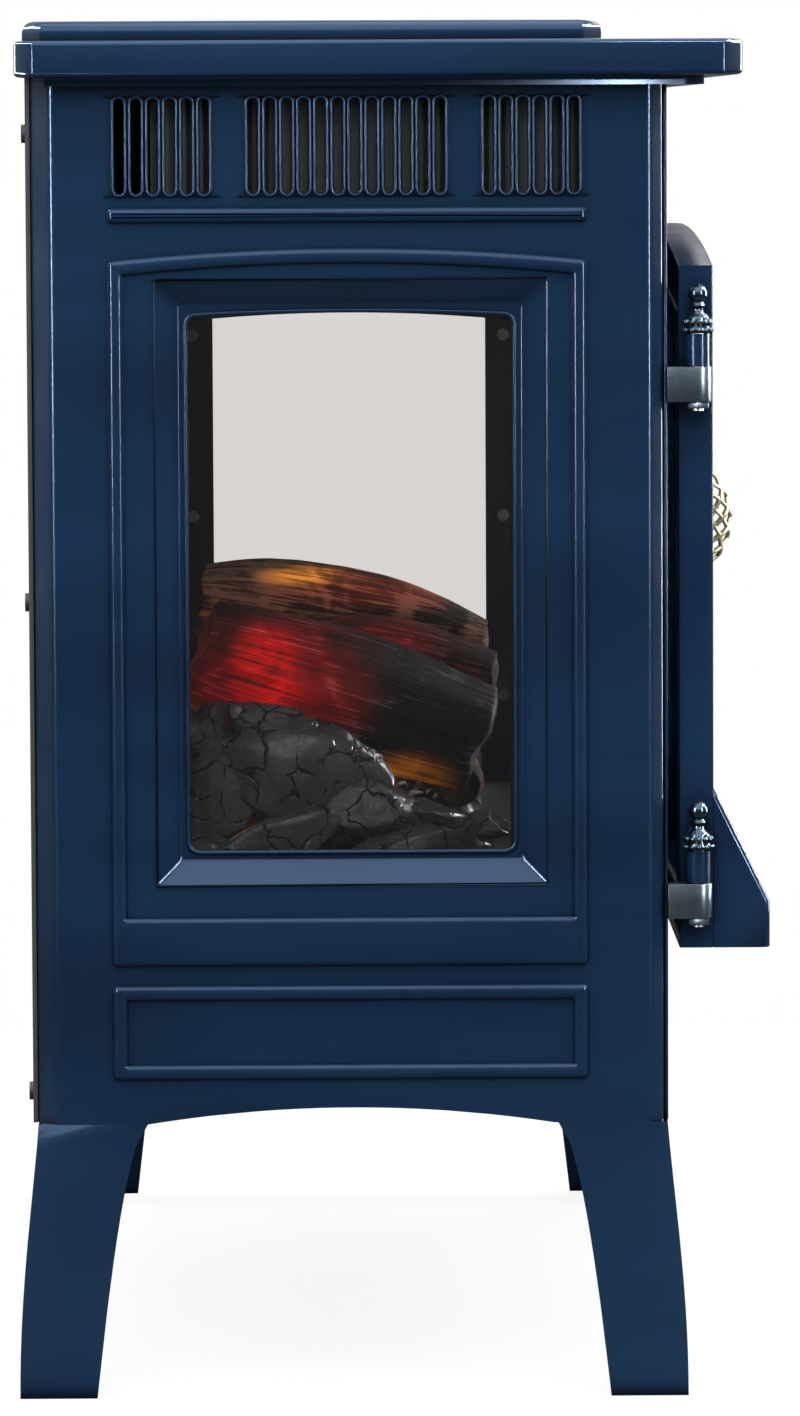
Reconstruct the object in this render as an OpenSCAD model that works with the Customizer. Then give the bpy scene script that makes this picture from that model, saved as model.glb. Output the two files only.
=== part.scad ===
// Electric fireplace in the form of a small enamelled steel stove on four corner legs.
// The front faces -Y, +Z is up, and the origin is on the floor under the middle of the whole stove.

/* [Cabinet] */
// Width of the cabinet over its two side panels
cabinet_w = 584; // [560:1:720]
// Depth of the cabinet from its front frame to its back panel
cabinet_d = 276; // [228:1:340]
// Height of the cabinet from the top of the legs to the top plate
cabinet_h = 452.5; // [440:0.5:560]
// Height of the legs
leg_h = 118.5; // [90:0.5:150]
// Thickness of the enamelled steel sheet
sheet = 1.5; // [1:0.1:2]
// Thickness of the back panel
back_t = 2; // [1:0.1:3]
// Clipped rear corner of the side panels
rear_clip = 9; // [6:0.5:12]
// Clipped front corner of the side panels
front_clip = 6; // [4:0.5:8]
// Rise of the arched bottom edges
skirt_rise = 7; // [0:0.5:10]
// Clearance between pieces that lie beside each other
gap = 0.4; // [0.3:0.1:0.6]

/* [Top] */
// Thickness of the top plate
top_t = 15.5; // [10:0.5:24]
// Overhang of the top plate at each side
top_side = 13; // [6:0.5:24]
// Overhang of the top plate at the front
top_front = 32; // [20:0.5:44]
// Overhang of the top plate at the back
top_back = 4; // [3:0.5:12]
// Clipped corners of the top plate
top_clip = 8; // [4:0.5:14]
// Skin of the hollow top plate over the cabinet
top_skin = 2.5; // [1.5:0.1:4]
// Height of the moulding under the top plate
moulding_h = 4; // [2:0.5:8]
// Reach of the moulding in front of the cabinet
moulding_front = 16; // [4:0.5:20]
// Reach of the moulding at the sides of the cabinet
moulding_side = 4; // [1:0.5:6]
// Thickness of the raised deck
deck_t = 8.5; // [4:0.5:14]
// Distance from the top plate's front edge to the deck
deck_front = 60; // [30:1:90]
// Distance from the top plate's side edges to the deck
deck_side = 16; // [8:1:40]

/* [Side windows] */
// Width of each side window's opening
window_w = 140; // [90:1:160]
// Height of the opening at its sides
window_h = 230; // [160:1:240]
// Rise of the opening's arched top
window_rise = 3.5; // [1:0.5:8]
// Height of the window sill above the cabinet's bottom edge
window_sill = 117.5; // [110:0.5:130]
// Depth of the window's bevelled recess
recess_depth = 8; // [4:0.5:9]
// Flat lip between the opening and the bevel
recess_lip = 3.2; // [2:0.1:6]
// Width of the bevel around the lip
recess_bevel = 11; // [8:0.5:13]
// Thickness of the window glass
glass_t = 3; // [2:0.5:4]
// Lap of the glass behind the opening's edge
glass_lap = 6; // [4:0.5:8]
// Width of the retainer around the glass
retainer_w = 12; // [10:0.5:16]
// Thickness of the retainer
retainer_t = 2; // [1:0.5:3]

/* [Beads and louvres] */
// Width of the pressed beads
bead_w = 6.5; // [4:0.5:9]
// Height of the pressed beads
bead_h = 1.6; // [0.5:0.1:2.5]
// Width of the beaded panels on the sides
panel_w = 206; // [190:1:212]
// Bottom of the window's beaded frame above the cabinet's bottom edge
frame_low = 69; // [60:1:75]
// Top of the beaded frame above the cabinet's bottom edge, at its sides
frame_high = 374; // [370:0.5:380]
// Rise of the beaded frame's arched top
frame_rise = 5; // [2:0.5:8]
// Height of the beaded frame's bottom rail
frame_rail = 21; // [6.5:0.5:24]
// Bottom and top of the lower beaded panel above the cabinet's bottom edge
lower_low = 19.5; // [16:0.5:24]
// Top of the lower beaded panel above the cabinet's bottom edge
lower_high = 60.5; // [50:0.5:64]
// Length of each louvre slot
louvre_l = 41.5; // [30:0.5:44]
// Width of each louvre slot
louvre_w = 4.7; // [3:0.1:5]
// Distance between neighbouring slots
louvre_pitch = 7.3; // [6:0.1:7.5]
// Distance between the middles of neighbouring groups of slots
louvre_group = 79.4; // [70:0.1:82]
// Distance from the top plate down to the slots
louvre_drop = 9; // [8:0.5:12]

/* [Doors] */
// Distance from the cabinet's front to the back of the doors
door_back_gap = 5.3; // [4:0.1:8]
// Depth of the doors
door_t = 15; // [12:0.5:18]
// Distance from the cabinet's side to a door's hinged edge
door_set = 17; // [15:0.5:22]
// Gap between the two doors
door_gap = 2; // [1.5:0.1:4]
// Height of the doors' bottom edge above the cabinet's bottom edge
door_low = 74; // [70:0.5:78]
// Height of the doors at their hinged edges
door_h = 296.5; // [280:0.5:310]
// Rise of the doors' shared arch
door_rise = 14; // [8:0.5:20]
// Width of the door's frame around its glass
door_rail = 30; // [24:0.5:40]
// Depth of the ash lip in front of the doors
lip_reach = 24.5; // [16:0.5:30]
// Height of the ash lip's back edge above the doors' bottom edge
lip_h = 66; // [50:0.5:72]
// Height of the ash lip's upright front band
lip_band = 20; // [12:0.5:26]

/* [Hinges and handle] */
// Radius of the hinge pins
pin_r = 2.5; // [2:0.1:3]
// Running clearance between a pin and its knuckle
pin_play = 0.05; // [0.01:0.01:0.1]
// Radius of the hinge knuckles
knuckle_r = 5.4; // [5:0.1:5.8]
// Height of the hinge knuckles
knuckle_h = 14.5; // [10:0.5:18]
// Half width and nose radius of the hinge brackets
bracket_r = 6; // [5.6:0.1:6.4]
// Height of the hinge brackets
bracket_h = 15; // [10:0.5:18]
// Distance from a door's hinged edge out to the pin
pin_out = 7; // [6.8:0.1:8]
// Distance from a door's front face back to the pin
pin_in = 6.9; // [6:0.1:8]
// Top of the lower hinge brackets above the cabinet's bottom edge
hinge_low = 103; // [100:0.5:110]
// Distance between the upper and lower hinges
hinge_pitch = 224; // [180:1:230]
// Height of the finials
finial_h = 21.5; // [16:0.5:26]
// Outer radius of the handle's bow
bow_r = 33.2; // [28:0.1:36]
// Reach of the handle in front of the door
bow_reach = 22.4; // [18:0.1:24]
// Thickness radius of the handle
grip_r = 5; // [3:0.1:6]
// Height of the handle's middle above the cabinet's bottom edge
handle_z = 245; // [200:1:280]

/* [Legs] */
// Width of a leg at its top
leg_top_w = 47.5; // [44:0.5:60]
// Width of a leg at its foot
leg_foot_w = 33.5; // [24:0.5:40]
// Outward flare of a leg at its foot
leg_flare = 8.5; // [4:0.5:12]
// Thickness of the legs' walls
leg_wall = 2.5; // [2:0.1:4]
// Radius of the legs' bolts
bolt_r = 3; // [2.5:0.1:4]

/* [Inside] */
// Height of the firebox floor above the cabinet's bottom edge
floor_z = 97.5; // [92:0.5:100]
// Thickness of the inner sheets
liner_t = 1.2; // [0.8:0.1:1.5]
// Height of the base pan above the cabinet's bottom edge
pan_z = 8; // [7.5:0.5:10]
// Length of the heater box
heater_w = 304; // [240:1:330]
// Height of the heater box
heater_h = 52; // [43:0.5:64]
// Depth of the heater box
heater_d = 80; // [60:1:84]
// Radius of the quartz tubes
tube_r = 5; // [4:0.5:6]
// Length of the blower wheel
wheel_l = 200; // [160:1:240]
// Clearance between the blower wheel and its housing
wheel_gap = 3; // [1:0.5:4]
// Thickness of the blower housing's walls
housing_wall = 2; // [1.5:0.5:3]
// Length of the flame rotor between its end pieces
rotor_l = 380; // [300:1:400]
// Radius of the flame rotor's blades
rotor_r = 15; // [10:0.5:18]
// Radius of the rotor's and the blower's shafts
shaft_r = 2.5; // [2:0.1:3]

/* [Logs and controls] */
// Height of the ember bed
bed_h = 20; // [14:0.5:26]
// Width of the ember bed
bed_w = 440; // [380:1:460]
// Depth of the ember bed
bed_d = 132; // [110:1:134]
// Radius of the thick charred log at the back
charred_r = 33; // [26:0.5:36]
// Radius of the glowing main log
main_r = 28; // [22:0.5:30]
// Radius of the top log
top_log_r = 17; // [14:0.5:18]
// Radius of the push buttons
button_r = 5; // [4:0.1:6]
// Travel of the push buttons
button_travel = 2; // [1:0.1:2.5]
// Clearance around each button and around the rocker
button_play = 0.35; // [0.3:0.05:0.5]
// Distance between the push buttons
button_pitch = 17; // [15:0.5:20]

/* [Hidden] */
$fn = 48;

// Faces of the cabinet; the whole depth is centred on Y = 0
whole_d = top_back + cabinet_d + door_back_gap + door_t + lip_reach;
y_back = whole_d / 2 - top_back;
y_front = y_back - cabinet_d;
y_mid = (y_back + y_front) / 2;
x_side = cabinet_w / 2;
z_cab = leg_h;
z_top = leg_h + cabinet_h;
y_shell_back = y_back - back_t;
y_shell_front = y_front + sheet;
flange = 12;
eps = 0.01;

// Windows
z_sill = z_cab + window_sill;
x_lip = x_side - recess_depth;
x_glass = x_lip - sheet;
x_retainer = x_glass - glass_t;
x_clear = x_retainer - retainer_t;
glass_w = window_w + 2 * glass_lap;
y_fire_back = y_mid + window_w / 2 + retainer_w + 1;

// Compartments
z_pan = z_cab + pan_z;
z_floor = z_cab + floor_z;
z_bed = z_floor + liner_t;
z_ceiling = z_sill + window_h + window_rise + retainer_w + 3;
x_liner = x_clear - gap;

// Doors and hinges
y_door_back = y_front - door_back_gap;
y_door = y_door_back - door_t;
x_edge = x_side - door_set;
z_door = z_cab + door_low;
x_pin = x_edge + pin_out;
y_pin = y_door + pin_in;
knuckle_gap = 0.3;
nut_h = 3;
pane_lap = 5;
pane_t = 3;
lip_skin = 1.5;
opening_rise = door_rise * 0.8;

// Heater, blower and rotor
y_heater = y_front + 10;
z_heater = z_pan + liner_t + 6;
y_wheel = y_heater + heater_d + 50;
wheel_r = heater_h / 2 - housing_wall - wheel_gap;
z_wheel = z_heater + heater_h / 2;
y_rotor = y_fire_back + 26;
z_rotor = z_floor + 34;
grille_w = heater_w - 8;
grille_h = 40;
grille_t = 4;

// Controls
panel_x = 190;
panel_z = z_top - 48;
controls_w = 104;
controls_h = 34;
controls_t = 4;
controls_set = 5;
y_controls = y_back - back_t - controls_set;
rocker_w = 19;
rocker_h = 13;
rocker_tilt = 8;
gland_x = -190;
gland_z = z_cab + 36;

// Radius of the circle that rises by h over a chord c
function arc_radius(c, h) = (c * c / 4 + h * h) / (2 * h);

// A flat shape in (Y, Z) extruded along X, and one in (X, Z) extruded along Y
module along_x(x0, x1) {
    translate([x0, 0, 0]) rotate([90, 0, 90]) linear_extrude(x1 - x0) children();
}
module along_y(y0, y1) {
    translate([0, y1, 0]) rotate([90, 0, 0]) linear_extrude(y1 - y0) children();
}

// A box from one corner to the other
module block(a, b) {
    translate(a) cube([b[0] - a[0], b[1] - a[1], b[2] - a[2]]);
}

// A flat panel, w wide and centred, h high at its sides, with a top arched by rise
module arched(w, h, rise) {
    r = arc_radius(w, rise);
    intersection() {
        translate([-w / 2, 0]) square([w, h + rise]);
        translate([0, h + rise - r]) circle(r, $fn = 720);
    }
}

// A plate with clipped corners
module clipped(w, y0, y1, c) {
    x = w / 2;
    polygon([[-x + c, y0], [x - c, y0], [x, y0 + c], [x, y1 - c], [x - c, y1], [-x + c, y1],
             [-x, y1 - c], [-x, y0 + c]]);
}

// A piece and its mirror image across the middle of the stove
module both_sides() {
    children();
    mirror([1, 0, 0]) children();
}

// ---------------------------------------------------------------- top

module top_plate() {
    w = cabinet_w + 2 * top_side;
    y0 = y_front - top_front;
    y1 = y_back + top_back;
    color("midnightblue") difference() {
        union() {
            translate([0, 0, z_top]) linear_extrude(top_t) clipped(w, y0, y1, top_clip);
            translate([0, 0, z_top - moulding_h]) linear_extrude(moulding_h + eps)
                difference() {
                    clipped(cabinet_w + 2 * moulding_side, y_front - moulding_front, y_back,
                            rear_clip);
                    clipped(cabinet_w + 2 * gap, y_front - gap, y_back + 1, front_clip);
                }
        }
        translate([0, 0, z_top - eps]) linear_extrude(top_t - top_skin + eps)
            clipped(cabinet_w - 2 * flange, y_front + flange, y_back - flange, rear_clip);
    }
}

module top_deck() {
    w = cabinet_w + 2 * (top_side - deck_side);
    y0 = y_front - top_front + deck_front;
    y1 = y_back + 1;
    z = z_top + top_t;
    color("midnightblue") difference() {
        translate([0, 0, z]) linear_extrude(deck_t) clipped(w, y0, y1, top_clip);
        translate([0, 0, z - eps]) linear_extrude(deck_t - top_skin)
            clipped(w - 8 * top_skin, y0 + 4 * top_skin, y1 - 4 * top_skin, top_clip);
    }
}

// ---------------------------------------------------------------- cabinet shell

// Plan of the left side panel: a sheet with clipped corners and a short flange at each end
module side_plan() {
    x = -x_side;
    k = sheet * (sqrt(2) - 1);
    polygon([
        [x + rear_clip + flange, y_shell_back], [x + rear_clip, y_shell_back],
        [x, y_shell_back - rear_clip], [x, y_shell_front + front_clip],
        [x + front_clip, y_shell_front], [x + front_clip + flange, y_shell_front],
        [x + front_clip + flange, y_shell_front + sheet],
        [x + front_clip + k, y_shell_front + sheet], [x + sheet, y_shell_front + front_clip + k],
        [x + sheet, y_shell_back - rear_clip - k], [x + rear_clip + k, y_shell_back - sheet],
        [x + rear_clip + flange, y_shell_back - sheet]]);
}

// One louvre slot as a cutter through the left side
module louvre_slot(y) {
    r = louvre_w / 2;
    z1 = z_top - louvre_drop - r;
    z0 = z_top - louvre_drop - louvre_l + r;
    block([-x_side - 1, y - r, z0], [-x_side + 3, y + r, z1]);
    for (z = [z0, z1])
        translate([-x_side - 1, y, z]) rotate([0, 90, 0]) cylinder(r = r, h = 4, $fn = 24);
}

module louvres() {
    for (g = [[-louvre_group, 6], [0, 12], [louvre_group, 6]])
        for (i = [0 : g[1] - 1])
            louvre_slot(y_mid + g[0] + (i - (g[1] - 1) / 2) * louvre_pitch);
}

// The window's bevelled dish between two depths: grow is the sheet added around its narrow end
module dish(x0, x1, grow) {
    wide = 2 * (recess_lip + recess_bevel);
    lip = 2 * recess_lip;
    h = window_h + window_rise;
    hull() {
        translate([x0, y_mid - (window_w + wide) / 2 - grow, z_sill - wide / 2 - grow])
            cube([eps, window_w + wide + 2 * grow, h + wide + 2 * grow]);
        translate([x1 - eps, y_mid - (window_w + lip) / 2 - grow, z_sill - lip / 2 - grow])
            cube([eps, window_w + lip + 2 * grow, h + lip + 2 * grow]);
    }
}

module side_panel() {
    x = -x_side;
    bead_in = 2 * bead_w;
    difference() {
        union() {
            translate([0, 0, z_cab]) linear_extrude(cabinet_h) side_plan();
            dish(x + eps, x + recess_depth + sheet, sheet / 2);
            along_x(x - bead_h, x + eps) translate([y_mid, z_cab + frame_low]) difference() {
                arched(panel_w, frame_high - frame_low, frame_rise);
                translate([0, frame_rail])
                    arched(panel_w - bead_in, frame_high - frame_low - frame_rail - bead_w,
                           frame_rise);
            }
            along_x(x - bead_h, x + eps) translate([y_mid, z_cab]) difference() {
                translate([-panel_w / 2, lower_low]) square([panel_w, lower_high - lower_low]);
                translate([-panel_w / 2 + bead_w, lower_low + bead_w])
                    square([panel_w - bead_in, lower_high - lower_low - bead_in]);
            }
            z_bead = z_top - louvre_drop - louvre_l - 12;
            block([x - bead_h, y_mid - panel_w / 2, z_bead],
                  [x + eps, y_mid + panel_w / 2, z_bead + bead_w]);
        }
        dish(x - eps, x + recess_depth, 0);
        along_x(x - 1, x + recess_depth + 5)
            translate([y_mid, z_sill]) arched(window_w, window_h, window_rise);
        louvres();
        for (z = screw_heights())
            translate([-x_screw, y_shell_back + 1, z]) rotate([90, 0, 0])
                cylinder(r = screw_r + 0.2, h = 6, $fn = 24);
        chord = cabinet_d - 2 * (leg_top_w + 0.5);
        r = arc_radius(chord, skirt_rise);
        translate([x - 3, y_mid, z_cab + skirt_rise - r]) rotate([0, 90, 0])
            cylinder(r = r, h = 8, $fn = 720);
    }
}

module left_side_panel() {
    color("midnightblue") side_panel();
}
module right_side_panel() {
    color("midnightblue") mirror([1, 0, 0]) side_panel();
}

// Arched opening of the firebox in the front frame
module fire_opening() {
    w = 2 * (x_edge - door_rail);
    z0 = z_floor + liner_t + 4;
    translate([0, z0]) arched(w, z_ceiling - 3 - opening_rise - z0, opening_rise);
}

module front_frame() {
    x = x_side - front_clip;
    chord = cabinet_w - 2 * (leg_top_w + 0.5);
    r = arc_radius(chord, skirt_rise);
    color("midnightblue") difference() {
        block([-x, y_front, z_cab], [x, y_shell_front, z_top]);
        along_y(y_front - 1, y_shell_front + 1) fire_opening();
        block([-grille_w / 2, y_front - 1, z_heater + 6],
              [grille_w / 2, y_shell_front + 1, z_heater + 6 + grille_h - 4]);
        translate([0, y_front - 1, z_cab + skirt_rise - r]) rotate([-90, 0, 0])
            cylinder(r = r, h = sheet + 2, $fn = 720);
    }
}

// Places of the back panel's screws: three down each side flange, and one at the top and bottom
screw_r = 2;
x_screw = x_side - rear_clip - flange / 2;
z_low_screw = z_pan + liner_t + screw_r + 2;
function screw_heights() = [z_low_screw, z_cab + cabinet_h / 2, z_top - 24];
function back_screw_places() = concat(
    [for (x = [-x_screw, x_screw]) for (z = screw_heights()) [x, z]],
    [[0, z_low_screw], [0, z_top - 12]]);

module back_panel() {
    x = x_side - rear_clip;
    color([0.08, 0.08, 0.09]) difference() {
        block([-x, y_shell_back, z_cab], [x, y_back, z_top]);
        for (p = back_screw_places())
            translate([p[0], y_back + 1, p[1]]) rotate([90, 0, 0])
                cylinder(r = screw_r + 0.2, h = back_t + 2, $fn = 24);
        block([panel_x - controls_w / 2, y_shell_back - 1, panel_z - controls_h / 2],
              [panel_x + controls_w / 2, y_back + 1, panel_z + controls_h / 2]);
        translate([gland_x, y_back + 1, gland_z]) rotate([90, 0, 0]) cylinder(r = 7.2, h = 4);
        for (i = [0 : 5]) for (s = [-1, 1])
            block([s * 60 - 50, y_shell_back - 1, z_heater + 2 + i * 8],
                  [s * 60 + 50, y_back + 1, z_heater + 5.5 + i * 8]);
        for (i = [0 : 3])
            block([-110, y_shell_back - 1, z_top - 60 + i * 9],
                  [40, y_back + 1, z_top - 56 + i * 9]);
    }
}

module back_screws() {
    color([0.1, 0.1, 0.1]) for (p = back_screw_places())
        translate([p[0], y_back, p[1]]) rotate([90, 0, 0]) {
            translate([0, 0, -1.8]) cylinder(r = 4, h = 1.8, $fn = 24);
            cylinder(r = screw_r, h = back_t + 3, $fn = 24);
        }
}

// Places of the four legs' bolts
x_bolt = x_side - rear_clip - 14;
y_bolt_back = y_shell_back - rear_clip - 14;
y_bolt_front = y_shell_front + front_clip + 14;
module base_pan() {
    color([0.08, 0.08, 0.09]) difference() {
        translate([0, 0, z_pan]) linear_extrude(liner_t)
            clipped(cabinet_w - 2 * sheet - 2 * gap, y_shell_front + sheet + gap,
                    y_shell_back - sheet - gap, rear_clip);
        both_sides() for (y = [y_bolt_front, y_bolt_back])
            translate([x_bolt, y, z_pan - 1]) cylinder(r = bolt_r + 0.2, h = 4, $fn = 24);
    }
}

// ---------------------------------------------------------------- legs

// Outline of a leg's outer face: the outer edge flares by out at the foot, and the inner edge
// sweeps from a wide top to a narrower foot. It grows away from a = 0 towards +a
leg_steps = 12;
function leg_outer(t) = -leg_flare * pow(sin(90 * t), 1.15);
function leg_inner(t) = leg_top_w - (leg_top_w - leg_foot_w + leg_flare) * pow(t, 0.57);
module leg_outline(set, wide) {
    polygon(concat(
        [for (i = [0 : leg_steps]) [leg_outer(i / leg_steps) + set, leg_h * (1 - i / leg_steps)]],
        [for (i = [leg_steps : -1 : 0])
            [(wide ? 2 * leg_top_w : leg_inner(i / leg_steps)),
             leg_h * (1 - i / leg_steps)]]));
}

// The left leg at a corner, built with its outer corner at the origin, +X and +Y inwards
module leg_block(set, wide) {
    intersection() {
        translate([0, -leg_flare - 2, 0]) rotate([90, 0, 0]) mirror([0, 0, 1])
            linear_extrude(3 * leg_top_w) leg_outline(set, wide);
        translate([-leg_flare - 2, 0, 0]) rotate([90, 0, 90])
            linear_extrude(3 * leg_top_w) leg_outline(set, wide);
    }
}

module leg(x_in, y_in) {
    difference() {
        union() {
            difference() {
                leg_block(0, false);
                translate([0, 0, -eps]) leg_block(leg_wall, true);
            }
            block([leg_wall / 2, leg_wall / 2, leg_h - 8], [x_in + 9, y_in + 9, leg_h - eps]);
            block([x_in - 9, y_in - 9, leg_h - 8], [x_in + 9, y_in + 9, leg_h + pan_z]);
        }
        translate([x_in, y_in, leg_h - 9]) cylinder(r = bolt_r, h = 20, $fn = 24);
    }
}

// Outer corner of the rear and the front legs
x_leg = x_side;
y_leg_back = y_shell_back - 0.5;
y_leg_front = y_front + 0.5;

module front_left_leg() {
    color("midnightblue") translate([-x_leg, y_leg_front, 0])
        leg(x_leg - x_bolt, y_bolt_front - y_leg_front);
}
module front_right_leg() {
    color("midnightblue") mirror([1, 0, 0]) translate([-x_leg, y_leg_front, 0])
        leg(x_leg - x_bolt, y_bolt_front - y_leg_front);
}
module rear_left_leg() {
    color("midnightblue") translate([-x_leg, y_leg_back, 0]) mirror([0, 1, 0])
        leg(x_leg - x_bolt, y_leg_back - y_bolt_back);
}
module rear_right_leg() {
    color("midnightblue") mirror([1, 0, 0]) translate([-x_leg, y_leg_back, 0])
        mirror([0, 1, 0]) leg(x_leg - x_bolt, y_leg_back - y_bolt_back);
}

module leg_bolts() {
    color("silver") both_sides() for (y = [y_bolt_front, y_bolt_back])
        translate([x_bolt, y, z_pan + liner_t]) {
            cylinder(r = 5.5, h = 4, $fn = 6);
            translate([0, 0, -liner_t - 12]) cylinder(r = bolt_r - 0.02, h = liner_t + 12.5,
                                                      $fn = 24);
        }
}

// ---------------------------------------------------------------- side windows

module window_glass() {
    color([0.75, 0.8, 0.8, 0.35]) along_x(-x_glass, -x_retainer)
        translate([y_mid, z_sill - glass_lap])
            arched(glass_w, window_h + 2 * glass_lap, window_rise);
}
module left_window_glass() {
    window_glass();
}
module right_window_glass() {
    mirror([1, 0, 0]) window_glass();
}

// Width and height of the retainer's outside
retainer_out_w = window_w + 2 * retainer_w;
retainer_out_h = window_h + window_rise + 2 * retainer_w;

module window_retainer() {
    h = retainer_out_h;
    color([0.06, 0.06, 0.06]) difference() {
        union() {
            block([-x_retainer, y_mid - retainer_out_w / 2, z_sill - retainer_w],
                  [-x_clear, y_mid + retainer_out_w / 2, z_sill - retainer_w + h]);
            for (s = retainer_screw_places())
                translate([-x_glass + gap, s[0], s[1]]) rotate([0, 90, 0])
                    cylinder(r = 2.6, h = glass_t + eps, $fn = 24);
        }
        along_x(-x_glass - 5, -x_clear + 5) translate([y_mid, z_sill])
            arched(window_w, window_h, window_rise);
        for (s = retainer_screw_places())
            translate([-x_glass - 5, s[0], s[1]]) rotate([0, 90, 0])
                cylinder(r = 1.6, h = 15, $fn = 24);
    }
}

// Places of the screws in (Y, Z), outside the glass
function retainer_screw_places() = [
    for (s = [-1, 1]) for (f = [0.1, 0.5, 0.9])
        [y_mid + s * (retainer_out_w / 2 - 3), z_sill + f * window_h]];

module left_window_retainer() {
    window_retainer();
}
module right_window_retainer() {
    mirror([1, 0, 0]) window_retainer();
}
module retainer_screws() {
    color("silver") both_sides() for (s = retainer_screw_places())
        translate([-x_clear, s[0], s[1]]) rotate([0, 90, 0]) {
            cylinder(r = 3, h = 2, $fn = 24);
            translate([0, 0, -retainer_t - glass_t + gap]) cylinder(r = 1.5,
                h = retainer_t + glass_t - gap + eps, $fn = 24);
        }
}

// ---------------------------------------------------------------- firebox

screen_w = 400;
screen_h = 190;
z_screen = z_bed + 14;

module firebox_back() {
    color([0.06, 0.06, 0.06]) difference() {
        block([-x_liner, y_fire_back, z_floor], [x_liner, y_fire_back + liner_t, z_ceiling]);
        block([-screen_w / 2 + 8, y_fire_back - 1, z_screen + 8],
              [screen_w / 2 - 8, y_fire_back + 3, z_screen + screen_h - 8]);
    }
}

module flame_screen() {
    color([0.1, 0.1, 0.1, 0.7])
        block([-screen_w / 2, y_fire_back - 3, z_screen],
              [screen_w / 2, y_fire_back, z_screen + screen_h]);
}

// The ceiling turns up at its sides into baffles behind the louvres
module firebox_ceiling() {
    y0 = y_shell_front + sheet + gap;
    color([0.06, 0.06, 0.06]) {
        block([-x_liner, y0, z_ceiling], [x_liner, y_fire_back + liner_t, z_ceiling + liner_t]);
        both_sides()
            block([-x_liner, y0, z_ceiling],
                  [-x_liner + liner_t, y_fire_back + liner_t, z_top - louvre_drop / 2]);
    }
}

module firebox_floor() {
    color([0.06, 0.06, 0.06]) difference() {
        block([-x_liner, y_shell_front + sheet + gap, z_floor],
              [x_liner, y_fire_back - gap, z_floor + liner_t]);
        block([-bed_w / 2 + 12, y_mid - bed_d / 2 + 10, z_floor - 1],
              [bed_w / 2 - 12, y_mid + bed_d / 2 - 10, z_floor + 3]);
    }
}

module ember_bed() {
    color([0.35, 0.1, 0.04]) translate([0, y_mid, z_bed]) linear_extrude(bed_h)
        clipped(bed_w, -bed_d / 2, bed_d / 2, 20);
}

// Two logs lie along X on the ember bed. The main log and the top log cross over towards the left
// window and slope down to the front, with the branch between them
log_gap = 0.5;
z_logs = z_bed + bed_h + log_gap;
y_rear_end = y_mid + bed_d / 2;
y_charred = y_rear_end - charred_r - 6;
x_main = -bed_w / 2 + main_r + 2;
x_main_face = x_main + main_r;
x_top_log = -98;
front_log_r = 12;
branch_r = 14;
// Heights of each sloping log's rear and front ends above the lying logs' underside
main_ends = [78, 39];
top_ends = [95, 77];
branch_ends = [80, 63];

module log_between(a, b, r) {
    d = b - a;
    translate(a) rotate([0, acos(d[2] / norm(d)), atan2(d[1], d[0])])
        cylinder(r = r, h = norm(d), $fn = 24);
}
module charred_log() {
    z = z_logs + charred_r;
    color([0.15, 0.13, 0.12])
        log_between([x_main_face + 12, y_charred, z], [bed_w / 2 - 30, y_charred, z], charred_r);
}
module main_log() {
    color([0.6, 0.15, 0.08])
        log_between([x_main, y_rear_end, z_logs + main_ends[0]],
                    [x_main, y_mid - 58, z_logs + main_ends[1]], main_r);
}
module top_log() {
    color([0.35, 0.18, 0.12])
        log_between([x_top_log, y_rear_end, z_logs + top_ends[0]],
                    [x_top_log, y_mid - 62, z_logs + top_ends[1]], top_log_r);
}
// A thinner log along the front of the bed
module front_log() {
    y = y_mid - 50;
    z = z_logs + front_log_r;
    color([0.3, 0.28, 0.26])
        log_between([x_main_face + 42, y, z], [150, y, z], front_log_r);
}
// A branch in the gap between the main log and the top log
module branch_log() {
    x = (x_main_face + x_top_log - top_log_r) / 2;
    color([0.3, 0.12, 0.1])
        log_between([x, y_mid + 14, z_logs + branch_ends[0]],
                    [x, y_mid - 66, z_logs + branch_ends[1]], branch_r);
}

// ---------------------------------------------------------------- lights and flame rotor

module ember_light_board() {
    z = z_floor - 8;
    color("darkgreen") {
        block([-170, y_mid - 20, z], [170, y_mid + 20, z + 1.6]);
        for (i = [-5 : 5])
            translate([i * 30 - 2.5, y_mid - 2.5, z + 1.6]) cube([5, 5, 1.4]);
        for (s = [-1, 1])
            block([s * 150 - 4, y_mid + 20, z], [s * 150 + 4, y_mid + bed_d / 2, z + 8]);
    }
}

module flame_light_board() {
    y = y_shell_back - 7;
    color("darkgreen") {
        block([-180, y, z_rotor - 15], [180, y + 1.6, z_rotor + 15]);
        for (i = [-5 : 5])
            translate([i * 32 - 2.5, y - 1.4, z_rotor - 2.5]) cube([5, 1.4, 5]);
        for (s = [-1, 1])
            block([s * 165 - 4, y + 1.6, z_rotor - 4], [s * 165 + 4, y_shell_back, z_rotor + 4]);
    }
}

module flame_rotor() {
    blades = 10;
    color("silver") translate([-rotor_l / 2 - 9, y_rotor, z_rotor]) rotate([0, 90, 0]) {
        cylinder(r = shaft_r, h = rotor_l + 18, $fn = 24);
        for (i = [0 : blades - 1])
            translate([0, 0, 14 + i * (rotor_l - 10) / blades]) rotate([0, 0, i * 50])
                translate([-rotor_r, -0.6, 0]) cube([2 * rotor_r, 1.2, 26]);
    }
}

// A plate that stands on the back wall of the firebox and holds one end of the rotor
module rotor_stand(x0, x1, r) {
    difference() {
        block([x0, y_fire_back + liner_t, z_rotor - 10], [x1, y_rotor + 10, z_rotor + 10]);
        translate([x0 - 1, y_rotor, z_rotor]) rotate([0, 90, 0])
            cylinder(r = r, h = x1 - x0 + 2, $fn = 24);
    }
}

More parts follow.
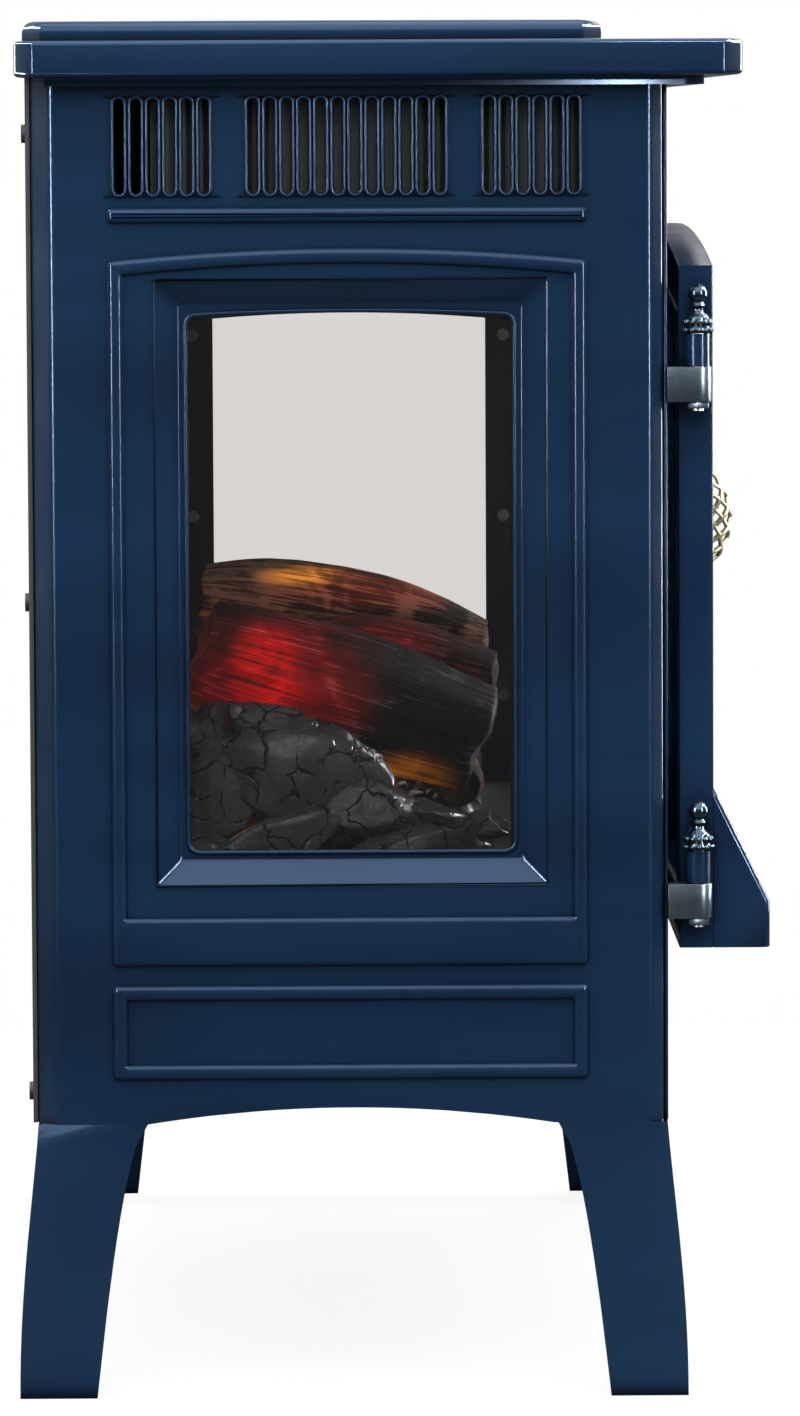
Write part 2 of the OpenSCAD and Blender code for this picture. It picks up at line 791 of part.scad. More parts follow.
module rotor_motor() {
    x0 = rotor_l / 2 + 3;
    color("gold") {
        rotor_stand(x0, x0 + 3, shaft_r + pin_play);
        translate([x0 + 8, y_rotor, z_rotor]) rotate([0, 90, 0]) cylinder(r = 12, h = 24);
        for (a = [-1, 1])
            translate([x0 + 3, y_rotor, z_rotor + a * 7]) rotate([0, 90, 0])
                cylinder(r = 2, h = 5 + eps, $fn = 24);
    }
}

module rotor_bearing() {
    x0 = -rotor_l / 2 - 8;
    color("ivory") rotor_stand(x0, x0 + 6, shaft_r + pin_play);
}

// ---------------------------------------------------------------- heater and blower

module heater_box() {
    w = heater_w / 2;
    color("silver") difference() {
        block([-w, y_heater, z_heater], [w, y_heater + heater_d, z_heater + heater_h]);
        block([-w + liner_t, y_heater - 1, z_heater + liner_t],
              [w - liner_t, y_heater + heater_d + 1, z_heater + heater_h - liner_t]);
    }
}

tube_l = heater_w - 2 * liner_t - 2;
function tube_places() = [for (i = [-1 : 1]) z_wheel + i * 14];
y_tubes = y_heater + heater_d / 2;

module quartz_tubes() {
    color([0.9, 0.6, 0.5]) for (z = tube_places())
        translate([-tube_l / 2, y_tubes, z]) rotate([0, 90, 0]) cylinder(r = tube_r, h = tube_l);
}

module tube_holders() {
    w = heater_w / 2 - liner_t;
    color("white") both_sides() difference() {
        block([w - 10, y_tubes - 9, z_heater + liner_t],
              [w, y_tubes + 9, z_heater + heater_h - liner_t]);
        for (z = tube_places())
            translate([w - 11, y_tubes, z]) rotate([0, 90, 0]) cylinder(r = tube_r + 0.05, h = 10);
    }
}

// Blower housing: a box with an open front that faces the heater and a slotted back
housing_w = wheel_l + 20;
y_housing = y_heater + heater_d + gap;
housing_d = 2 * (y_wheel - y_housing);

module blower_housing() {
    w = housing_w / 2;
    z0 = z_heater;
    z1 = z_heater + heater_h;
    color([0.2, 0.2, 0.22]) difference() {
        block([-w, y_housing, z0], [w, y_housing + housing_d, z1]);
        block([-w + housing_wall, y_housing - 1, z0 + housing_wall],
              [w - housing_wall, y_housing + housing_d + 1, z1 - housing_wall]);
        translate([-w - 1, y_wheel, z_wheel]) rotate([0, 90, 0])
            cylinder(r = shaft_r + pin_play, h = housing_w + 2, $fn = 24);
    }
}

module blower_wheel() {
    blades = 18;
    color([0.25, 0.25, 0.28]) translate([-wheel_l / 2, y_wheel, z_wheel]) rotate([0, 90, 0]) {
        for (x = [0, wheel_l - 2]) translate([0, 0, x]) cylinder(r = wheel_r, h = 2);
        for (i = [0 : blades - 1])
            rotate([0, 0, i * 360 / blades]) translate([wheel_r - 6, -0.5, 1])
                cube([5.5, 1, wheel_l - 2]);
        translate([0, 0, -9]) cylinder(r = shaft_r, h = wheel_l + 18, $fn = 24);
    }
}

module blower_motor() {
    x0 = housing_w / 2;
    color("silver") translate([x0 + gap, y_wheel, z_wheel]) rotate([0, 90, 0])
        cylinder(r = 19, h = 34);
}

module outlet_grille() {
    w = grille_w / 2 + 4;
    z0 = z_heater + 2;
    z1 = z0 + grille_h + 4;
    y0 = y_shell_front;
    color([0.06, 0.06, 0.06]) {
        difference() {
            block([-w, y0, z0], [w, y0 + grille_t, z1]);
            block([-w + 5, y0 - 1, z0 + 5], [w - 5, y0 + grille_t + 1, z1 - 5]);
        }
        for (i = [0 : 3])
            block([-w + 5 - eps, y0, z0 + 10 + i * 7], [w - 5 + eps, y0 + grille_t, z0 + 12 + i * 7]);
        for (x = [-70, 0, 70])
            block([x - 1, y0 + 1, z0 + 5 - eps], [x + 1, y0 + grille_t, z1 - 5 + eps]);
    }
}

module thermal_cutoff() {
    color([0.8, 0.75, 0.6]) translate([70, y_tubes, z_heater + heater_h]) {
        cylinder(r = 8, h = 6);
        block([-3, -11, 0], [3, 11, 2]);
    }
}

// ---------------------------------------------------------------- controls

module control_board() {
    z = z_ceiling + liner_t;
    x = panel_x;
    color("darkgreen") {
        block([x - 55, y_mid - 30, z + 6], [x + 55, y_mid + 40, z + 7.6]);
        for (a = [-48, 48]) for (b = [-24, 34])
            translate([x + a, y_mid + b, z]) cylinder(r = 3, h = 6 + eps, $fn = 24);
        block([x - 40, y_mid - 20, z + 7.6 - eps], [x - 10, y_mid + 10, z + 24]);
        block([x + 8, y_mid - 16, z + 7.6 - eps], [x + 26, y_mid - 4, z + 20]);
        translate([x + 18, y_mid + 18, z + 7]) cylinder(r = 6, h = 16, $fn = 24);
    }
}

function button_x(i) = panel_x + 40 - i * button_pitch;
rocker_x = panel_x - 34;

// A shallow tray behind the back panel, with holes for three buttons and the rocker
module control_panel() {
    w = controls_w / 2 + 6;
    h = controls_h / 2 + 6;
    color([0.1, 0.1, 0.1]) difference() {
        translate([panel_x, 0, panel_z]) difference() {
            block([-w, y_controls - controls_t, -h], [w, y_shell_back, h]);
            block([-w + 7, y_controls, -h + 7], [w - 7, y_shell_back + 1, h - 7]);
        }
        for (i = [0 : 2])
            translate([button_x(i), y_controls + 1, panel_z]) rotate([90, 0, 0])
                cylinder(r = button_r + button_play, h = controls_t + 2);
        block([rocker_x - rocker_w / 2 - button_play, y_controls - controls_t - 1,
               panel_z - rocker_h / 2 - button_play],
              [rocker_x + rocker_w / 2 + button_play, y_controls + 1,
               panel_z + rocker_h / 2 + button_play]);
        translate([rocker_x, y_rocker, panel_z - rocker_h / 2 - stub_l - 0.2])
            cylinder(r = stub_r + pin_play, h = rocker_h + 2 * stub_l + 0.4, $fn = 24);
    }
}

// A push button with a rim behind the panel that keeps it in
module push_button(i) {
    rim_t = 1.5;
    translate([button_x(i), y_controls + 3, panel_z]) rotate([90, 0, 0])
        cylinder(r = button_r, h = controls_t + 3 + button_play + eps);
    translate([button_x(i), y_controls - controls_t - button_play, panel_z]) rotate([90, 0, 0])
        cylinder(r = button_r + 1.5, h = rim_t);
}
module power_button() {
    color("gainsboro") push_button(0);
}
module flame_button() {
    color("gainsboro") push_button(1);
}
module heat_button() {
    color("gainsboro") push_button(2);
}

// The rocker turns on two stubs along Z in the middle of the panel's thickness
y_rocker = y_controls - controls_t / 2;
stub_r = 1.2;
stub_l = 1.3;
module power_rocker() {
    w = rocker_w / 2 - 1.2;
    h = rocker_h / 2;
    color([0.05, 0.05, 0.05]) translate([rocker_x, y_rocker, panel_z]) {
        rotate([0, 0, -rocker_tilt]) translate([0, 0, -h]) linear_extrude(2 * h)
            polygon([[-w, -2], [w, -2], [w, 3.4], [0, 2.2], [-w, 3.4]]);
        translate([0, 0, -h - stub_l]) cylinder(r = stub_r, h = 2 * (h + stub_l), $fn = 24);
    }
}

module cord_gland() {
    color([0.05, 0.05, 0.05]) translate([gland_x, y_back + 1.8, gland_z]) rotate([90, 0, 0])
        difference() {
            union() {
                cylinder(r = 10, h = 1.8);
                cylinder(r = 7, h = back_t + 9);
            }
            translate([0, 0, -1]) cylinder(r = 3.6, h = back_t + 12);
        }
}

// ---------------------------------------------------------------- doors

// Outline of the left leaf in (X, Z), drawn in by inset on every edge
module leaf_outline(inset) {
    w = 2 * x_edge;
    r = arc_radius(w, door_rise);
    intersection() {
        translate([-x_edge + inset, z_door + inset])
            square([x_edge - door_gap / 2 - 2 * inset, door_h + door_rise]);
        translate([0, z_door + door_h + door_rise - r]) circle(r - inset, $fn = 720);
    }
}

hinge_tops = [z_cab + hinge_low, z_cab + hinge_low + hinge_pitch];

// The left leaf: a folded pan with a glazed opening and two knuckles
module door_leaf() {
    wall = lip_skin;
    color("midnightblue") difference() {
        union() {
            along_y(y_door, y_door_back) leaf_outline(0);
            for (z = hinge_tops) {
                translate([-x_pin, y_pin, z + knuckle_gap])
                    cylinder(r = knuckle_r, h = knuckle_h - 2 * knuckle_gap);
                block([-x_pin, y_pin - 1.5, z + knuckle_gap],
                      [-x_edge + wall / 2, y_pin + 1.5, z + knuckle_h - knuckle_gap]);
            }
        }
        difference() {
            along_y(y_door + wall, y_door_back + 1) leaf_outline(wall);
            along_y(y_door, y_door_back + 2) leaf_outline(door_rail - pane_lap - 2 * wall);
        }
        along_y(y_door + wall, y_door_back + 1) leaf_outline(door_rail - pane_lap - wall);
        along_y(y_door - 1, y_door_back) leaf_outline(door_rail);
        for (z = hinge_tops)
            translate([-x_pin, y_pin, z - 1]) cylinder(r = pin_r + pin_play, h = knuckle_h + 2);
    }
}

module left_door_frame() {
    door_leaf();
}
module right_door_frame() {
    mirror([1, 0, 0]) door_leaf();
}

module door_pane() {
    color([0.75, 0.8, 0.8, 0.35]) along_y(y_door + lip_skin, y_door + lip_skin + pane_t)
        leaf_outline(door_rail - pane_lap - lip_skin + gap);
}
module left_door_glass() {
    door_pane();
}
module right_door_glass() {
    mirror([1, 0, 0]) door_pane();
}

// Section of the ash lip in (Y, Z), drawn in by inset
module lip_section(inset) {
    y1 = y_door - (inset > 0 ? -1 : 0);
    polygon([[y1, z_door - (inset > 0 ? 1 : 0)], [y1, z_door + lip_h - inset * 1.3],
             [y_door - 2 + inset * 0.5, z_door + lip_h - inset * 1.3],
             [y_door - lip_reach + inset, z_door + lip_band - inset * 0.6],
             [y_door - lip_reach + inset, z_door - (inset > 0 ? 1 : 0)]]);
}

module ash_lip() {
    color("midnightblue") difference() {
        along_x(-x_edge, -door_gap / 2) lip_section(0);
        along_x(-x_edge + lip_skin, -door_gap / 2 - lip_skin) lip_section(lip_skin);
    }
}
module left_ash_lip() {
    ash_lip();
}
module right_ash_lip() {
    mirror([1, 0, 0]) ash_lip();
}

// ---------------------------------------------------------------- hinges, handle and catches

module hinge_brackets() {
    color([0.3, 0.33, 0.35]) both_sides() for (z = hinge_tops) difference() {
        union() {
            block([-x_pin - bracket_r, y_pin, z - bracket_h], [-x_pin + bracket_r, y_front, z]);
            translate([-x_pin, y_pin, z - bracket_h]) cylinder(r = bracket_r, h = bracket_h);
        }
        translate([-x_pin, y_pin, z - bracket_h - 1]) cylinder(r = pin_r + pin_play,
                                                               h = bracket_h + 2);
    }
}

module hinge_pins() {
    color("silver") both_sides() for (z = hinge_tops)
        translate([-x_pin, y_pin, z - bracket_h - nut_h - 1])
            cylinder(r = pin_r, h = bracket_h + knuckle_h + nut_h + 5);
}

module hinge_nuts() {
    color([0.4, 0.42, 0.44]) both_sides() for (z = hinge_tops)
        translate([-x_pin, y_pin, z - bracket_h - nut_h]) difference() {
            cylinder(r = 5.2, h = nut_h, $fn = 6);
            translate([0, 0, -1]) cylinder(r = pin_r + 0.02, h = nut_h + 2);
        }
}

// A turned finial: a bulb on a collar, a thin neck and a knob
module hinge_finials() {
    h = finial_h;
    color([0.35, 0.38, 0.4]) both_sides() for (z = hinge_tops)
        translate([-x_pin, y_pin, z + knuckle_h]) difference() {
            rotate_extrude() polygon([[0, 0], [5.2, 0], [7, 0.14 * h], [7, 0.26 * h],
                [4.6, 0.38 * h], [2.4, 0.46 * h], [2, 0.56 * h], [3.6, 0.66 * h], [4, 0.78 * h],
                [3, 0.9 * h], [1.2, 0.97 * h], [0, h]]);
            translate([0, 0, -1]) cylinder(r = pin_r + 0.02, h = 5.2);
        }
}

handle_x = 20;
module door_handle() {
    bow = bow_r - grip_r;
    z = z_cab + handle_z;
    y = y_door - bow_reach + bow_r;
    half = sqrt(bow_r * bow_r - (bow_r - bow_reach) * (bow_r - bow_reach)) - grip_r;
    color([0.75, 0.7, 0.6]) {
        intersection() {
            translate([handle_x, y, z]) rotate([0, 90, 0]) rotate_extrude()
                translate([bow, 0]) circle(grip_r);
            block([handle_x - 20, y_door - 40, z - 60], [handle_x + 20, y_door, z + 60]);
        }
        for (s = [-1, 1])
            translate([handle_x, y_door, z + s * half]) rotate([90, 0, 0])
                cylinder(r = grip_r + 2, h = 2);
    }
}

module magnet_catches() {
    t = door_back_gap - gap;
    z = z_door + door_h + door_rise - 18;
    color([0.15, 0.15, 0.15]) both_sides()
        block([6, y_front - t, z], [22, y_front, z + 10]);
}

top_plate();
top_deck();
left_side_panel();
right_side_panel();
front_frame();
back_panel();
base_pan();
left_window_glass();
right_window_glass();
left_window_retainer();
right_window_retainer();
retainer_screws();
front_left_leg();
front_right_leg();
rear_left_leg();
rear_right_leg();
leg_bolts();
back_screws();
firebox_back();
flame_screen();
firebox_ceiling();
firebox_floor();
ember_bed();
charred_log();
main_log();
top_log();
front_log();
branch_log();
ember_light_board();
flame_light_board();
flame_rotor();
rotor_motor();
rotor_bearing();
heater_box();
quartz_tubes();
tube_holders();
blower_housing();
blower_wheel();
blower_motor();
outlet_grille();
thermal_cutoff();
control_board();
control_panel();
power_button();
flame_button();
heat_button();
power_rocker();
cord_gland();
left_door_frame();
right_door_frame();
left_door_glass();
right_door_glass();
left_ash_lip();
right_ash_lip();
hinge_brackets();
hinge_pins();
hinge_nuts();
hinge_finials();
door_handle();
magnet_catches();
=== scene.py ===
"""The looks of an electric fireplace shaped as a small enamelled stove, laid out as an add-on."""

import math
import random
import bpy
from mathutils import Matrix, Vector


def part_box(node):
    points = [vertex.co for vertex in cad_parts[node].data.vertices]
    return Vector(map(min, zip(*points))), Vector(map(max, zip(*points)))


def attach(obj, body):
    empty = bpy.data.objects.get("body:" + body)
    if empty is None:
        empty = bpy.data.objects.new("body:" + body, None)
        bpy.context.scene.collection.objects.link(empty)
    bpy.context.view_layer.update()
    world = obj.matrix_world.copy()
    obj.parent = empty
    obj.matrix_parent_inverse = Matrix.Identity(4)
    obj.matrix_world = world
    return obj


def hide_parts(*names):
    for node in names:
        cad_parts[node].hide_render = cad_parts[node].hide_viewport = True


bl_info = {
    "name": "Enamelled Electric Stove",
    "version": (1, 0, 0),
    "blender": (4, 5, 0),
    "location": "View3D > Sidebar > Stove",
    "description": "Builds the finished pieces, materials and studio of an enamelled electric stove",
    "category": "Object",
}

import bmesh
import bpy
from mathutils import Euler, Matrix, Vector, noise

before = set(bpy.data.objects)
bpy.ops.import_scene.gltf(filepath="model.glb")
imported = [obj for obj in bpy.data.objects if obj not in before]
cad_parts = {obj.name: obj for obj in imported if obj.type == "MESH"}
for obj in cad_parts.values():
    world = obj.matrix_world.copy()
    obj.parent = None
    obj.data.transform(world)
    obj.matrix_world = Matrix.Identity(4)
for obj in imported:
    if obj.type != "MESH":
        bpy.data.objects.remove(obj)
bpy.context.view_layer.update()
MM = 0.001
NEAR = 0.01 * MM  # corners this close are at the same place
ALL_AROUND = math.tau


def linear(hexed):
    """The linear RGBA of an sRGB colour written as six hex digits."""
    channels = [int(hexed[i : i + 2], 16) / 255 for i in (0, 2, 4)]
    return (*(c / 12.92 if c <= 0.04045 else ((c + 0.055) / 1.055) ** 2.4 for c in channels), 1.0)


def toned(tint, by):
    """A linear colour made darker or paler."""
    return (*(channel * by for channel in tint[:3]), 1.0)


def length(name, description, default_mm, low_mm=0.0, high_mm=1000.0):
    """A property for a length, given in millimetres and kept in metres."""
    return bpy.props.FloatProperty(
        name=name, description=description, default=default_mm * MM, min=low_mm * MM,
        max=high_mm * MM, subtype="DISTANCE", unit="LENGTH", precision=4)


def colour(name, description, hexed):
    """A property for a colour, given in sRGB hex."""
    return bpy.props.FloatVectorProperty(
        name=name, description=description, default=linear(hexed), size=4, min=0.0, max=1.0,
        subtype="COLOR")


# ---------------------------------------------------------------- what a user would change


class StudioSettings(bpy.types.PropertyGroup):
    camera_back: length("Camera distance", "From the left side panel to the camera", 3100, 500, 9000)
    camera_height: length("Camera height", "Height of the lens above the floor", 553.5, 50, 3000)
    camera_y: length("Camera offset", "How far the lens stands behind the middle", 18.5, 0, 500)
    camera_lens: bpy.props.FloatProperty(
        name="Lens", description="Focal length", default=183.3, min=20, max=400, unit="CAMERA")
    camera_tilt: bpy.props.FloatProperty(
        name="Tilt", description="How far the camera looks down", default=math.radians(4.687),
        subtype="ANGLE", unit="ROTATION")
    camera_turn: bpy.props.FloatProperty(
        name="Turn", description="How far the camera is turned towards the stove's front",
        default=math.radians(0.3735), subtype="ANGLE", unit="ROTATION")
    camera_roll: bpy.props.FloatProperty(
        name="Roll", description="How far the camera leans", default=math.radians(-0.27),
        subtype="ANGLE", unit="ROTATION")
    floor_radius: length("Floor radius", "Radius of the pale floor", 1000, 500, 9000)
    key_power: bpy.props.FloatProperty(
        name="Key", description="Power of the overhead softbox in watts", default=62, min=0)
    edge_power: bpy.props.FloatProperty(
        name="Edge", description="Watts that the edge lights take shares of", default=24, min=0)
    fill_power: bpy.props.FloatProperty(
        name="Fill", description="Power of the frontal fill in watts", default=30, min=0)


class EnamelSettings(bpy.types.PropertyGroup):
    deep: colour("Deep enamel", "Darker tone of the navy enamel", "172c49")
    light: colour("Light enamel", "Lighter tone of the navy enamel", "1d3b5b")
    # painted shade: the near-black navy that ambient occlusion darkens the enamel to in corners and
    # creases
    painted_crease_shade: colour("Crease", "Enamel where it pools in a corner", "02060c")
    edge_round: length("Edge rounding", "Radius of the sheet's pressed edges", 1.3, 0.2, 3)
    bead_width: length("Bead width", "Width of the pressed beads", 6.5, 3, 10)
    bead_height: length("Bead height", "Height of the pressed beads", 2.1, 0.5, 4)
    panel_width: length("Panel width", "Width of the beaded side panels", 206, 150, 230)
    frame_low: length("Frame bottom", "Bottom of the window's beaded frame above the legs", 69)
    frame_high: length("Frame top", "Top of that frame at its sides above the legs", 374)
    frame_rise: length("Frame rise", "Rise of the frame's arched top", 5, 0, 12)
    frame_rail: length("Frame rail", "Height of the frame's bottom rail", 21, 8, 30)
    lower_low: length("Lower panel bottom", "Bottom of the lower panel above the legs", 19.5)
    lower_high: length("Lower panel top", "Top of the lower panel above the legs", 60.5)
    louvre_length: length("Louvre length", "Length of each louvre slot", 41.5, 20, 60)
    louvre_pitch: length("Louvre pitch", "Distance between neighbouring slots", 7.3, 6, 10)
    louvre_group: length("Louvre groups", "Distance between the groups' middles", 79.4, 60, 90)
    louvre_drop: length("Louvre drop", "Distance from the top plate down to the slots", 9, 5, 20)
    rear_clip: length("Rear clip", "Clipped rear corner of the side panels", 9, 3, 15)
    front_clip: length("Front clip", "Clipped front corner of the side panels", 6, 3, 12)
    flange: length("Flange", "Turned flange at each end of a side panel", 12, 6, 16)
    window_sill: length("Window sill", "Bottom of the side window above the legs", 118.5)
    window_width: length("Window width", "Width of the side window", 140, 90, 160)
    window_shift: length("Window shift", "How far the window stands forward of the panel's middle",
                         1.0, -5, 5)
    window_height: length("Window height", "Height of the side window at its sides", 231, 100, 240)
    window_rise: length("Window rise", "Rise of the side window's arched top", 1.6, 0, 8)
    window_corner: length("Window corner", "Radius of the side window's corners", 3.6, 1, 10)
    window_lip: length("Window lip", "Flat lip around the side window", 3.2, 2, 6)
    window_bevel: length("Window bevel", "Width of the bevel around the lip", 11, 6, 14)
    window_depth: length("Window depth", "Depth of the window's recess", 8, 3, 9)
    skirt_rise: length("Skirt rise", "Rise of the arched bottom edges", 7, 0, 12)
    skirt_end: length("Skirt end", "Distance from a corner to where the skirt rises", 48, 20, 80)


class MetalSettings(bpy.types.PropertyGroup):
    pewter: colour("Pewter", "Cast hinge brackets", "66727c")
    burnished: colour("Burnished pewter", "Dark burnished finials", "2f4353")
    brass: colour("Brass", "Plated wire of the handle", "cbbf9f")
    # painted shade: the dark brown that the wire is darkened to where the wires cross
    painted_crossing_shade: colour("Tarnish", "Tarnish between the handle's wires", "2a2013")
    bead_count: bpy.props.IntProperty(
        name="Finial beads", description="Beads around a finial", default=12, min=6, max=24)
    strand_count: bpy.props.IntProperty(
        name="Handle strands", description="Wires that wind each way", default=5, min=3, max=9)
    strand_turns: bpy.props.FloatProperty(
        name="Handle turns", description="Turns of each wire along the bow", default=1.6, min=0.5)


class FireSettings(bpy.types.PropertyGroup):
    fibre: colour("Fibre", "Pale fibres on the top log", "b98a70")
    coal: colour("Coal", "Moulded coals", "6c6f76")
    red: colour("Red glow", "Glow through the main log", "f01408")
    amber: colour("Amber glow", "Glow through the logs' thin parts", "e8820c")
    glow: bpy.props.FloatProperty(
        name="Glow", description="Strength of the lit logs", default=1.0, min=0)
    coal_count: bpy.props.IntProperty(
        name="Coals", description="Number of coals on the bed", default=170, min=20, max=400)
    seed: bpy.props.IntProperty(name="Seed", description="Seed of the rough shapes", default=7)


# ---------------------------------------------------------------- materials


def add(tree, kind, inputs=None, **settings):
    """Adds a shader node with its settings, and fills its inputs with values or from outputs."""
    node = tree.nodes.new("ShaderNode" + kind)
    for name, value in settings.items():
        setattr(node, name, value)
    for name, value in (inputs or {}).items():
        if isinstance(value, bpy.types.NodeSocket):
            tree.links.new(value, node.inputs[name])
        else:
            node.inputs[name].default_value = value
    return node


def blank(name):
    """A new material, its node tree, and the socket that says where on the object a point is."""
    made = bpy.data.materials.new(name)
    made.use_nodes = True
    tree = made.node_tree
    tree.nodes.clear()
    return made, tree, add(tree, "TexCoord").outputs["Object"]


def shown(made, shader):
    """Links a shader to a material's output, and returns the material."""
    add(made.node_tree, "OutputMaterial", {"Surface": shader.outputs[0]})
    return made


def vitreous_enamel():
    """Navy glass enamel fired on pressed sheet: hard gloss, with painted shade darkening every
    corner and crease.
    """
    look = bpy.context.scene.stove_enamel
    made, tree, place = blank("navy vitreous enamel")
    drawn = add(tree, "Mapping", {"Vector": place, "Scale": (5, 2.5, 11)})
    cloud = add(tree, "TexNoise", {"Vector": drawn.outputs[0], "Scale": 1.6, "Detail": 4.0})
    spread = add(tree, "MapRange", {"Value": cloud.outputs[0], "From Min": 0.32, "From Max": 0.68})
    tone = add(tree, "Mix", {0: spread.outputs[0], 6: look.deep, 7: look.light}, data_type="RGBA")
    # painted shade: ambient occlusion within 7 mm darkens corners and the sides of beads and lips
    # towards the crease colour
    near = add(tree, "AmbientOcclusion", {"Distance": 7 * MM}, samples=6)
    painted_crease_shade_mask = add(tree, "MapRange", {"Value": near.outputs["AO"], "From Min": 0.45, "From Max": 0.95})
    body = add(tree, "Mix", {0: painted_crease_shade_mask.outputs[0], 6: look.painted_crease_shade, 7: tone.outputs[2]},
               data_type="RGBA")
    # orange peel of about 5 mm, so fine that only the reflections waver
    peel = add(tree, "TexNoise", {"Vector": place, "Scale": 1 / (5 * MM), "Detail": 1.0})
    bump = add(tree, "Bump", {"Height": peel.outputs[0], "Strength": 0.05, "Distance": 0.4 * MM})
    dust = add(tree, "TexNoise", {"Vector": place, "Scale": 1 / (40 * MM), "Detail": 3.0})
    wear_and_painted_shade = add(tree, "MapRange", {"Value": dust.outputs[0], "To Min": 0.1, "To Max": 0.24})
    shader = add(tree, "BsdfPrincipled", {
        "Base Color": body.outputs[2], "Roughness": wear_and_painted_shade.outputs[0], "Normal": bump.outputs[0],
        "IOR": 1.5, "Specular IOR Level": 0.4, "Specular Tint": linear("b0cdf2")})
    return shown(made, shader)


def painted(name, hexed, rough, grain_mm, relief_mm, metallic):
    """A coat over metal or plastic: a fine even grain with faint mottling."""
    made, tree, place = blank(name)
    mottle = add(tree, "TexNoise", {"Vector": place, "Scale": 1 / (30 * MM), "Detail": 3.0})
    base = linear(hexed)
    tone = add(tree, "Mix", {0: mottle.outputs[0], 6: toned(base, 0.72), 7: toned(base, 1.25)},
               data_type="RGBA")
    grain = add(tree, "TexNoise", {"Vector": place, "Scale": 1 / (grain_mm * MM), "Detail": 2.0})
    bump = add(tree, "Bump", {"Height": grain.outputs[0], "Strength": 0.35,
                              "Distance": relief_mm * MM})
    gloss = add(tree, "MapRange", {"Value": mottle.outputs[0], "To Min": rough * 0.8,
                                   "To Max": min(1.0, rough * 1.2)})
    shader = add(tree, "BsdfPrincipled", {
        "Base Color": tone.outputs[2], "Roughness": gloss.outputs[0], "Normal": bump.outputs[0],
        "Metallic": metallic})
    return shown(made, shader)


def pane_glass():
    """Clear float glass: nearly all passes, a little greyed, and the rest mirrors."""
    made, tree, place = blank("float glass")
    film = add(tree, "TexNoise", {"Vector": place, "Scale": 1 / (50 * MM), "Detail": 2.0})
    haze = add(tree, "MapRange", {"Value": film.outputs[0], "To Min": 0.02, "To Max": 0.06})
    through = add(tree, "BsdfTransparent", {"Color": linear("f8f7f6")})
    mirror = add(tree, "BsdfPrincipled", {
        "Base Color": linear("f2f2f2"), "Metallic": 1.0, "Roughness": haze.outputs[0]})
    edge = add(tree, "Fresnel", {"IOR": 1.45})
    both = add(tree, "MixShader", {0: edge.outputs[0], 1: through.outputs[0],
                                   2: mirror.outputs[0]})
    return shown(made, both)


def cast_pewter(name, pale, rough):
    """Grey cast metal, with painted shade darkening its hollows to near black and its mottled grey
    on its crests.
    """
    made, tree, place = blank(name)
    cloud = add(tree, "TexNoise", {"Vector": place, "Scale": 1 / (6 * MM), "Detail": 4.0})
    # painted shade: ambient occlusion within 3 mm turns the hollows near black
    near = add(tree, "AmbientOcclusion", {"Distance": 3 * MM}, samples=6)
    wear_and_painted_shade = add(tree, "MapRange", {"Value": near.outputs["AO"], "From Min": 0.35, "From Max": 0.9})
    tone = add(tree, "Mix", {0: cloud.outputs[0], 6: linear("3c464f"), 7: pale},
               data_type="RGBA")
    body = add(tree, "Mix", {0: wear_and_painted_shade.outputs[0], 6: linear("07090b"), 7: tone.outputs[2]},
               data_type="RGBA")
    pits = add(tree, "TexNoise", {"Vector": place, "Scale": 1 / (1.2 * MM), "Detail": 2.0})
    bump = add(tree, "Bump", {"Height": pits.outputs[0], "Strength": 0.25, "Distance": 0.2 * MM})
    shader = add(tree, "BsdfPrincipled", {
        "Base Color": body.outputs[2], "Metallic": 0.85, "Roughness": rough,
        "Normal": bump.outputs[0]})
    return shown(made, shader)


def plated_wire():
    """Pale brass plate on twisted wire, with painted shade darkening it where the wires cross and
    lie close.
    """
    look = bpy.context.scene.stove_metal
    made, tree, place = blank("plated brass wire")
    # painted shade: ambient occlusion within 4 mm darkens the wire where the wires cross
    near = add(tree, "AmbientOcclusion", {"Distance": 4 * MM}, samples=8)
    wear_and_painted_shade = add(tree, "MapRange", {"Value": near.outputs["AO"], "From Min": 0.4, "From Max": 0.8})
    cloud = add(tree, "TexNoise", {"Vector": place, "Scale": 1 / (4 * MM), "Detail": 3.0})
    tone = add(tree, "Mix", {0: cloud.outputs[0], 6: linear("8d7c58"), 7: look.brass},
               data_type="RGBA")
    body = add(tree, "Mix", {0: wear_and_painted_shade.outputs[0], 6: look.painted_crossing_shade, 7: tone.outputs[2]},
               data_type="RGBA")
    shader = add(tree, "BsdfPrincipled", {
        "Base Color": body.outputs[2], "Metallic": 0.7, "Roughness": 0.32})
    return shown(made, shader)


def bright_metal(name, hexed, rough, grain_mm):
    """Plated or drawn metal with short scratches along X."""
    made, tree, place = blank(name)
    drawn = add(tree, "Mapping", {"Vector": place, "Scale": (0.1, 1, 1)})
    lines = add(tree, "TexNoise", {"Vector": drawn.outputs[0], "Scale": 1 / (grain_mm * MM),
                                   "Detail": 2.0})
    gloss = add(tree, "MapRange", {"Value": lines.outputs[0], "To Min": rough * 0.7,
                                   "To Max": rough * 1.4})
    bump = add(tree, "Bump", {"Height": lines.outputs[0], "Strength": 0.15,
                              "Distance": 0.05 * MM})
    tint = linear(hexed)
    tone = add(tree, "Mix", {0: lines.outputs[0], 6: toned(tint, 0.7), 7: tint},
               data_type="RGBA")
    shader = add(tree, "BsdfPrincipled", {
        "Base Color": tone.outputs[2], "Metallic": 1.0, "Roughness": gloss.outputs[0],
        "Normal": bump.outputs[0]})
    return shown(made, shader)


